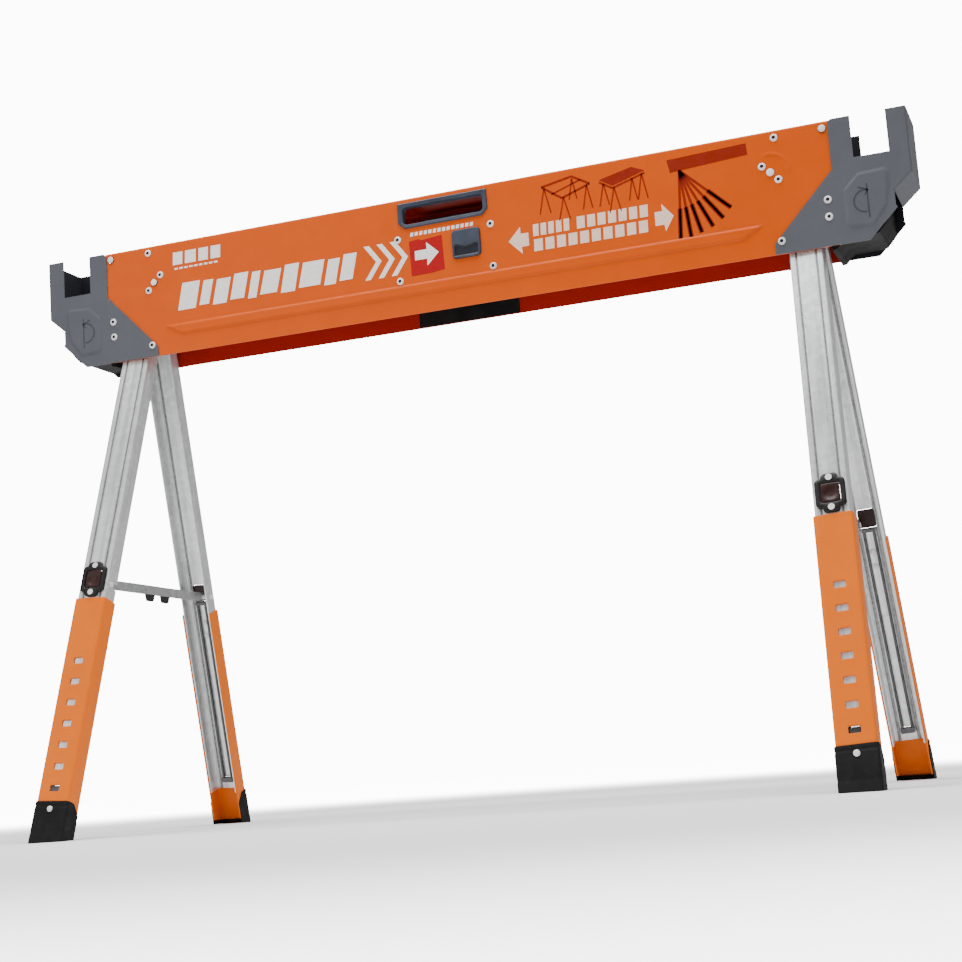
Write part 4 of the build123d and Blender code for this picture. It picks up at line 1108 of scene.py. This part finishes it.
class SAWHORSE_OT_sleeves(bpy.types.Operator):
    """Fold the orange lower leg sleeves with their height holes, and mould their boots"""
    bl_idname = "sawhorse.sleeves"
    bl_label = "Sleeves and boots"

    def execute(self, context):
        for side, end in LEGS:
            lowest, highest = hole_heights(side, end)
            place = on_leg(side, end)
            inside = place(np.array([[0.0, -3.0, lowest]]))[0]

            section, run = channel(SLEEVE["width"], SLEEVE["face"], SLEEVE["depth"], 3.0, 1.3, 8)
            across, out = section[:, 0], section[:, 1]
            top = highest + SLEEVE_ABOVE
            foot = down_to(side, end, across, out, 6.2)
            share = np.linspace(0, 1, 190)[:, None]
            up = top + (foot - top) * share
            flat = np.stack([*np.broadcast_arrays(run[None, :], up)], -1).reshape(-1, 2)

            def cut(p):
                """Positive in the seven holes, negative in the sheet."""
                number = np.clip(np.round((p[:, 1] - lowest) / HOLE_PITCH), 0, HOLE_COUNT - 1)
                nearest = lowest + HOLE_PITCH * number
                return -rounded_box(np.stack([p[:, 0], p[:, 1] - nearest], -1), 0.0, HOLE_HALF, 1.2)

            flat, quads = trimmed(flat, grid_quads(*up.shape), cut, 1.3)
            x = np.interp(flat[:, 0], run, across)
            n = np.interp(flat[:, 0], run, out)
            points = place(np.stack([x, n, flat[:, 1]], -1))
            points, quads, uv = only_used(points, quads, flat)
            quads = facing_out(points, quads, inside)
            piece(f"sleeve_shell_{side}_{end}", points, quads, ["orange_leg"], f"lower_{side}_{end}",
                  [f"sleeve_{side}_{end}"], wall=SLEEVE["wall"], bevel=0.3, uv=uv)

            section, run = channel(BOOT["width"], BOOT["face"], BOOT["depth"], 3.6, 2.0, 9)
            across, out = section[:, 0], section[:, 1]
            floor_u = down_to(side, end, 0.0, 0.0, 0.0)
            foot = down_to(side, end, across, out, 0.3)
            rim = floor_u + 46.0 - 12.0 * np.clip((-1.4 - out) / 12.0, 0, 1)
            share = np.concatenate([
                np.linspace(0, 0.2, 8), np.linspace(0.24, 0.8, 12), np.linspace(0.83, 1, 8)])
            up = foot + (rim - foot) * share[:, None]
            from_rim = rim - up
            bands = np.exp(-((from_rim - 5.5) / 1.4) ** 2) + np.exp(-((share[:, None] - 0.26) / 0.03) ** 2)
            swell = -0.55 * bands
            grow = 1 + swell / 23.0
            grid = np.stack([*np.broadcast_arrays(across * grow, out + swell * (out > 0), up)], -1)
            grid = grid.reshape(-1, 3)
            points = place(grid)
            quads = facing_out(points, grid_quads(*up.shape), inside)
            block = rounded_outline(21.3, 2.6, 1.2) + np.array([0.0, SLEEVE["face"] - 2.6])
            sole = []
            for level, shrink in ((0.2, 1.0), (1.2, 0.0), (5.0, 0.0), (5.9, 0.9)):
                ring = inset(block, shrink)
                level_up = down_to(side, end, ring[:, 0], ring[:, 1], level)
                sole.append(np.stack([ring[:, 0], ring[:, 1], level_up], -1))
            cells = grid_quads(len(sole), len(block), wrap_cols=True).tolist()
            cells += [list(range(len(block)))[::-1], list(range(3 * len(block), 4 * len(block)))]
            piece(f"boot_wall_{side}_{end}", points, quads, ["boot_rubber"], f"lower_{side}_{end}",
                  [f"boot_{side}_{end}"], wall=BOOT["wall"], bevel=0.35)
            piece(f"boot_sole_{side}_{end}", place(np.concatenate(sole)), cells, ["boot_rubber"],
                  f"lower_{side}_{end}", closed=True)
        return {"FINISHED"}


class SAWHORSE_OT_latches(bpy.types.Operator):
    """Mould the leg latches and their levers"""
    bl_idname = "sawhorse.latches"
    bl_label = "Leg latches"

    def execute(self, context):
        window = ray_outline(lambda p: rounded_box(p, 0.0, np.array([10.9, 11.9]), 3.0), 88)
        outline = ray_outline(lambda p: np.minimum(rounded_box(p, 0.0, np.array([16.5, 17.0]), 5.0),
                                                   rounded_box(p, 0.0, np.array([9.5, 23.0]), 5.0)), 88)
        shares = np.array([0.0, 0.0, 0.05, 0.16, 0.6, 0.86, 0.97, 1.0, 1.0])
        levels = np.array([0.0, 2.4, 3.2, 3.7, 3.75, 3.75, 3.3, 2.6, 0.0])
        scales = np.array([1.0, 1.0, 0.96, 0.88, 0.76, 0.64, 0.5, 0.36, 0.2, 0.06])
        pad = evened(rounded_outline(10.3, 11.1, 2.6, 9), 72)
        for side, end in LEGS:
            _, highest = hole_heights(side, end)
            centre = highest + LATCH_ABOVE
            place = on_leg(side, end)
            rings = [outline * (1 - w) + window * w for w in shares]
            points, faces = ring_loop(rings, UPPER["face"] + levels)
            at = np.stack([points[:, 0], points[:, 2], points[:, 1] + centre], -1)
            piece(f"latch_{side}_{end}", place(at), faces, ["black_moulding"], f"upper_{side}_{end}",
                  [f"latch_housing_{side}_{end}"], closed=True, sharp=45)
            rings = [pad * w for w in scales]
            along = np.stack([ring[:, 1] for ring in rings])
            across = np.stack([ring[:, 0] for ring in rings])
            hollow = 1.5 * np.exp(-((across / 7.0) ** 2 + ((along + 1.5) / 6.5) ** 2) ** 2)
            heights = np.array([0.2, 2.4, 2.85, *[3.0] * (len(scales) - 3)])[:, None] - hollow
            points, faces = ring_stack(rings, UPPER["face"] + heights)
            at = np.stack([points[:, 0], points[:, 2], points[:, 1] + centre], -1)
            piece(f"lever_pad_{side}_{end}", place(at), faces, ["lever_brown"], f"lever_{side}_{end}",
                  [f"latch_lever_{side}_{end}"], closed=True, sharp=45)
        return {"FINISHED"}


class SAWHORSE_OT_braces(bpy.types.Operator):
    """Cut the folding brace bars and their finger grips"""
    bl_idname = "sawhorse.braces"
    bl_label = "Braces"

    def execute(self, context):
        for side, end in LEGS:
            f, inboard = SIDES[side], -ENDS[end]
            origin, across, out, up = leg_axes(side, end)
            _, highest = hole_heights(side, end)
            pin = origin + BRACE_N[end] * out + (highest + BRACE_ABOVE) * up
            reach = abs(pin[1])
            inner = inboard * BAR_IN[side] - f * NEST[end]
            toward = np.array([0.0, -f, 0.0])
            rise = np.cross(across, toward)
            rise = rise * np.sign(rise[2])
            turn = np.linspace(np.pi / 2, 3 * np.pi / 2, 12)
            cap = BRACE_H / 2 * np.stack([np.cos(turn), np.sin(turn)], -1)
            slot = np.concatenate([cap, np.array([reach, 0.0]) - cap])
            grip_mid = reach - 22.0
            grip = GRIP + np.array([grip_mid, 0.0])

            def solid(outline, edge, thick, shift):
                """An outline given a thickness along the beam, its edges drawn in a little on each face."""
                rings = [inset(outline, edge), outline, outline, inset(outline, edge)]
                points, faces = ring_stack(rings, np.array([0, edge, thick - edge, thick]) + shift)
                world = (pin + (inner + inboard * points[:, 2:3]) * across + points[:, :1] * toward
                         + (points[:, 1:2]) * rise)
                return world, faces

            parts = [solid(slot, 0.35, BRACE_T, 0.0)]
            parts.append(solid(grip, 0.3, BRACE_T - 0.2, 0.1))
            points, faces = joined(parts)
            index = [0] * len(parts[0][1]) + [1] * len(parts[1][1])
            # the bar takes the darker copy of the zinc, which is painted shade
            piece(f"brace_{side}_{end}_bar", points, faces, ["bar_zinc_shade", "black_moulding"],
                  f"brace_{side}_{end}", [f"brace_bar_{side}_{end}"], index=index, closed=True, sharp=35)
        return {"FINISHED"}


CAD_FINISHES = {
    # the swing and corner pins take a dark red that paints the shadow of the holes round their domes
    "hinge_bracket": "zinc_pressing", "swing_pin": "pin_hole_shadow",
    "hinge_studs": "rivet_metal", "corner_pins": "pin_hole_shadow", "release_housing": "black_moulding",
    "housing_": "black_moulding",
    "release_spring": "spring_steel", "fold_latch": "black_moulding", "yoke": "zinc_pressing",
    "splay_pins": "bright_metal", "catch_rod": "wire_steel", "leg_rivets": "rivet_metal",
}


class SAWHORSE_OT_cad_finishes(bpy.types.Operator):
    """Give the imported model's own parts their finishes"""
    bl_idname = "sawhorse.cad_finishes"
    bl_label = "Finishes of plain parts"

    def execute(self, context):
        for node, made in frame["nodes"].items():
            if made.hide_render:
                continue
            names = [one for key, one in CAD_FINISHES.items() if node.startswith(key)]
            if not names:
                raise RuntimeError(f"no finish is named for {node}")
            made.data.materials.clear()
            made.data.materials.append(finish(names[0]))
        return {"FINISHED"}


def area_light(name, at, aim, size, power):
    """Soft rectangular light at a point, turned so that it faces another."""
    data = bpy.data.lights.new(name, "AREA")
    data.shape = "RECTANGLE"
    data.size, data.size_y = size
    data.energy = power
    made = bpy.data.objects.new(name, data)
    back = np.array(at, float) - np.array(aim, float)
    back /= np.linalg.norm(back)
    side = np.cross([0.0, 1.0, 0.02], back)
    side /= np.linalg.norm(side)
    turn = np.stack([side, np.cross(back, side), back], -1)
    made.matrix_world = Matrix.Translation(at) @ Matrix(turn.tolist()).to_4x4()
    bpy.context.scene.collection.objects.link(made)


class SAWHORSE_OT_stage(bpy.types.Operator):
    """Set the floor, the soft light and the camera"""
    bl_idname = "sawhorse.stage"
    bl_label = "Stage"

    def execute(self, context):
        stage = context.scene.sawhorse_stage
        reach = 14.0
        line = np.linspace(-reach, reach, 5)
        x, y = np.meshgrid(line, line, indexing="ij")
        points = np.stack([x, y, np.zeros_like(x)], -1).reshape(-1, 3)
        mesh = bpy.data.meshes.new("floor")
        mesh.from_pydata(points.tolist(), [], grid_quads(5, 5)[:, ::-1].tolist())
        f = Finish("floor_paper", tuple(stage.floor), 0.85, specular=0.2)
        f.colour(f.tint(f.noise(1.5, 3.0), tuple(stage.floor), 0.985, 1.0))
        f.roughness(f.noise(8.0, 3.0), 0.8, 0.9)
        f.glow_far(stage.backdrop)
        mesh.materials.append(f.material)
        floor = bpy.data.objects.new("floor", mesh)
        context.scene.collection.objects.link(floor)

        world = bpy.data.worlds.new("studio")
        world.use_nodes = True
        world.node_tree.nodes["Background"].inputs["Color"].default_value = (1.0, 1.0, 1.0, 1.0)
        tree = world.node_tree
        seen = tree.nodes.new("ShaderNodeMapRange")
        seen.inputs["To Min"].default_value = stage.ambient
        seen.inputs["To Max"].default_value = stage.backdrop
        tree.links.new(tree.nodes.new("ShaderNodeLightPath").outputs["Is Camera Ray"], seen.inputs["Value"])
        tree.links.new(seen.outputs["Result"], tree.nodes["Background"].inputs["Strength"])
        context.scene.world = world
        area_light("overhead", (0.0, -0.25, 2.7), (0.0, -0.1, 0.7), (2.8, 1.8), stage.overhead)
        area_light("key", (-1.9, -2.6, 1.5), (0.0, 0.0, 0.5), (1.6, 1.6), stage.key)

        data = bpy.data.cameras.new("camera")
        data.lens = LENS_MM
        data.sensor_fit = "HORIZONTAL"
        data.sensor_width = 36.0
        data.dof.use_dof = False
        data.clip_end = 100.0
        azimuth, elevation, roll = np.radians(CAMERA_TURN)
        back = np.array([math.sin(azimuth) * math.cos(elevation), -math.cos(azimuth) * math.cos(elevation),
                         math.sin(elevation)])
        right = np.cross(-back, [0, 0, 1])
        right /= np.linalg.norm(right)
        up = np.cross(right, -back)
        turned = right * math.cos(roll) + up * math.sin(roll)
        top = -right * math.sin(roll) + up * math.cos(roll)
        camera = bpy.data.objects.new("camera", data)
        axes = Matrix(np.stack([turned, top, back], -1).tolist()).to_4x4()
        camera.matrix_world = Matrix.Translation(CAMERA_AT) @ axes
        context.scene.collection.objects.link(camera)
        context.scene.camera = camera
        return {"FINISHED"}


OPERATORS = (
    SAWHORSE_OT_stage, SAWHORSE_OT_beam, SAWHORSE_OT_print, SAWHORSE_OT_brackets, SAWHORSE_OT_fixings,
    SAWHORSE_OT_handle, SAWHORSE_OT_upper_legs, SAWHORSE_OT_sleeves, SAWHORSE_OT_latches, SAWHORSE_OT_braces,
    SAWHORSE_OT_cad_finishes,
)


class SAWHORSE_PT_panel(bpy.types.Panel):
    """Sizes, colours and steps of the sawhorse"""
    bl_idname = "SAWHORSE_PT_panel"
    bl_label = "Sawhorse"
    bl_space_type = "VIEW_3D"
    bl_region_type = "UI"
    bl_category = "Sawhorse"

    def draw(self, context):
        layout = self.layout
        scene = context.scene
        for settings in (scene.sawhorse_sizes, scene.sawhorse_colours, scene.sawhorse_stage):
            column = layout.column(align=True)
            for name in settings.__annotations__:
                column.prop(settings, name)
        column = layout.column(align=True)
        for operator in OPERATORS:
            column.operator(operator.bl_idname)


CLASSES = (SawhorseSizes, SawhorseColours, SawhorseStage, *OPERATORS, SAWHORSE_PT_panel)


def register():
    for one in CLASSES:
        bpy.utils.register_class(one)
    bpy.types.Scene.sawhorse_sizes = bpy.props.PointerProperty(type=SawhorseSizes)
    bpy.types.Scene.sawhorse_colours = bpy.props.PointerProperty(type=SawhorseColours)
    bpy.types.Scene.sawhorse_stage = bpy.props.PointerProperty(type=SawhorseStage)


def unregister():
    del bpy.types.Scene.sawhorse_stage
    del bpy.types.Scene.sawhorse_colours
    del bpy.types.Scene.sawhorse_sizes
    for one in reversed(CLASSES):
        bpy.utils.unregister_class(one)


def main():
    register()
    for operator in OPERATORS:
        space, name = operator.bl_idname.split(".")
        getattr(getattr(bpy.ops, space), name)()


if __name__ == "__main__":
    main()
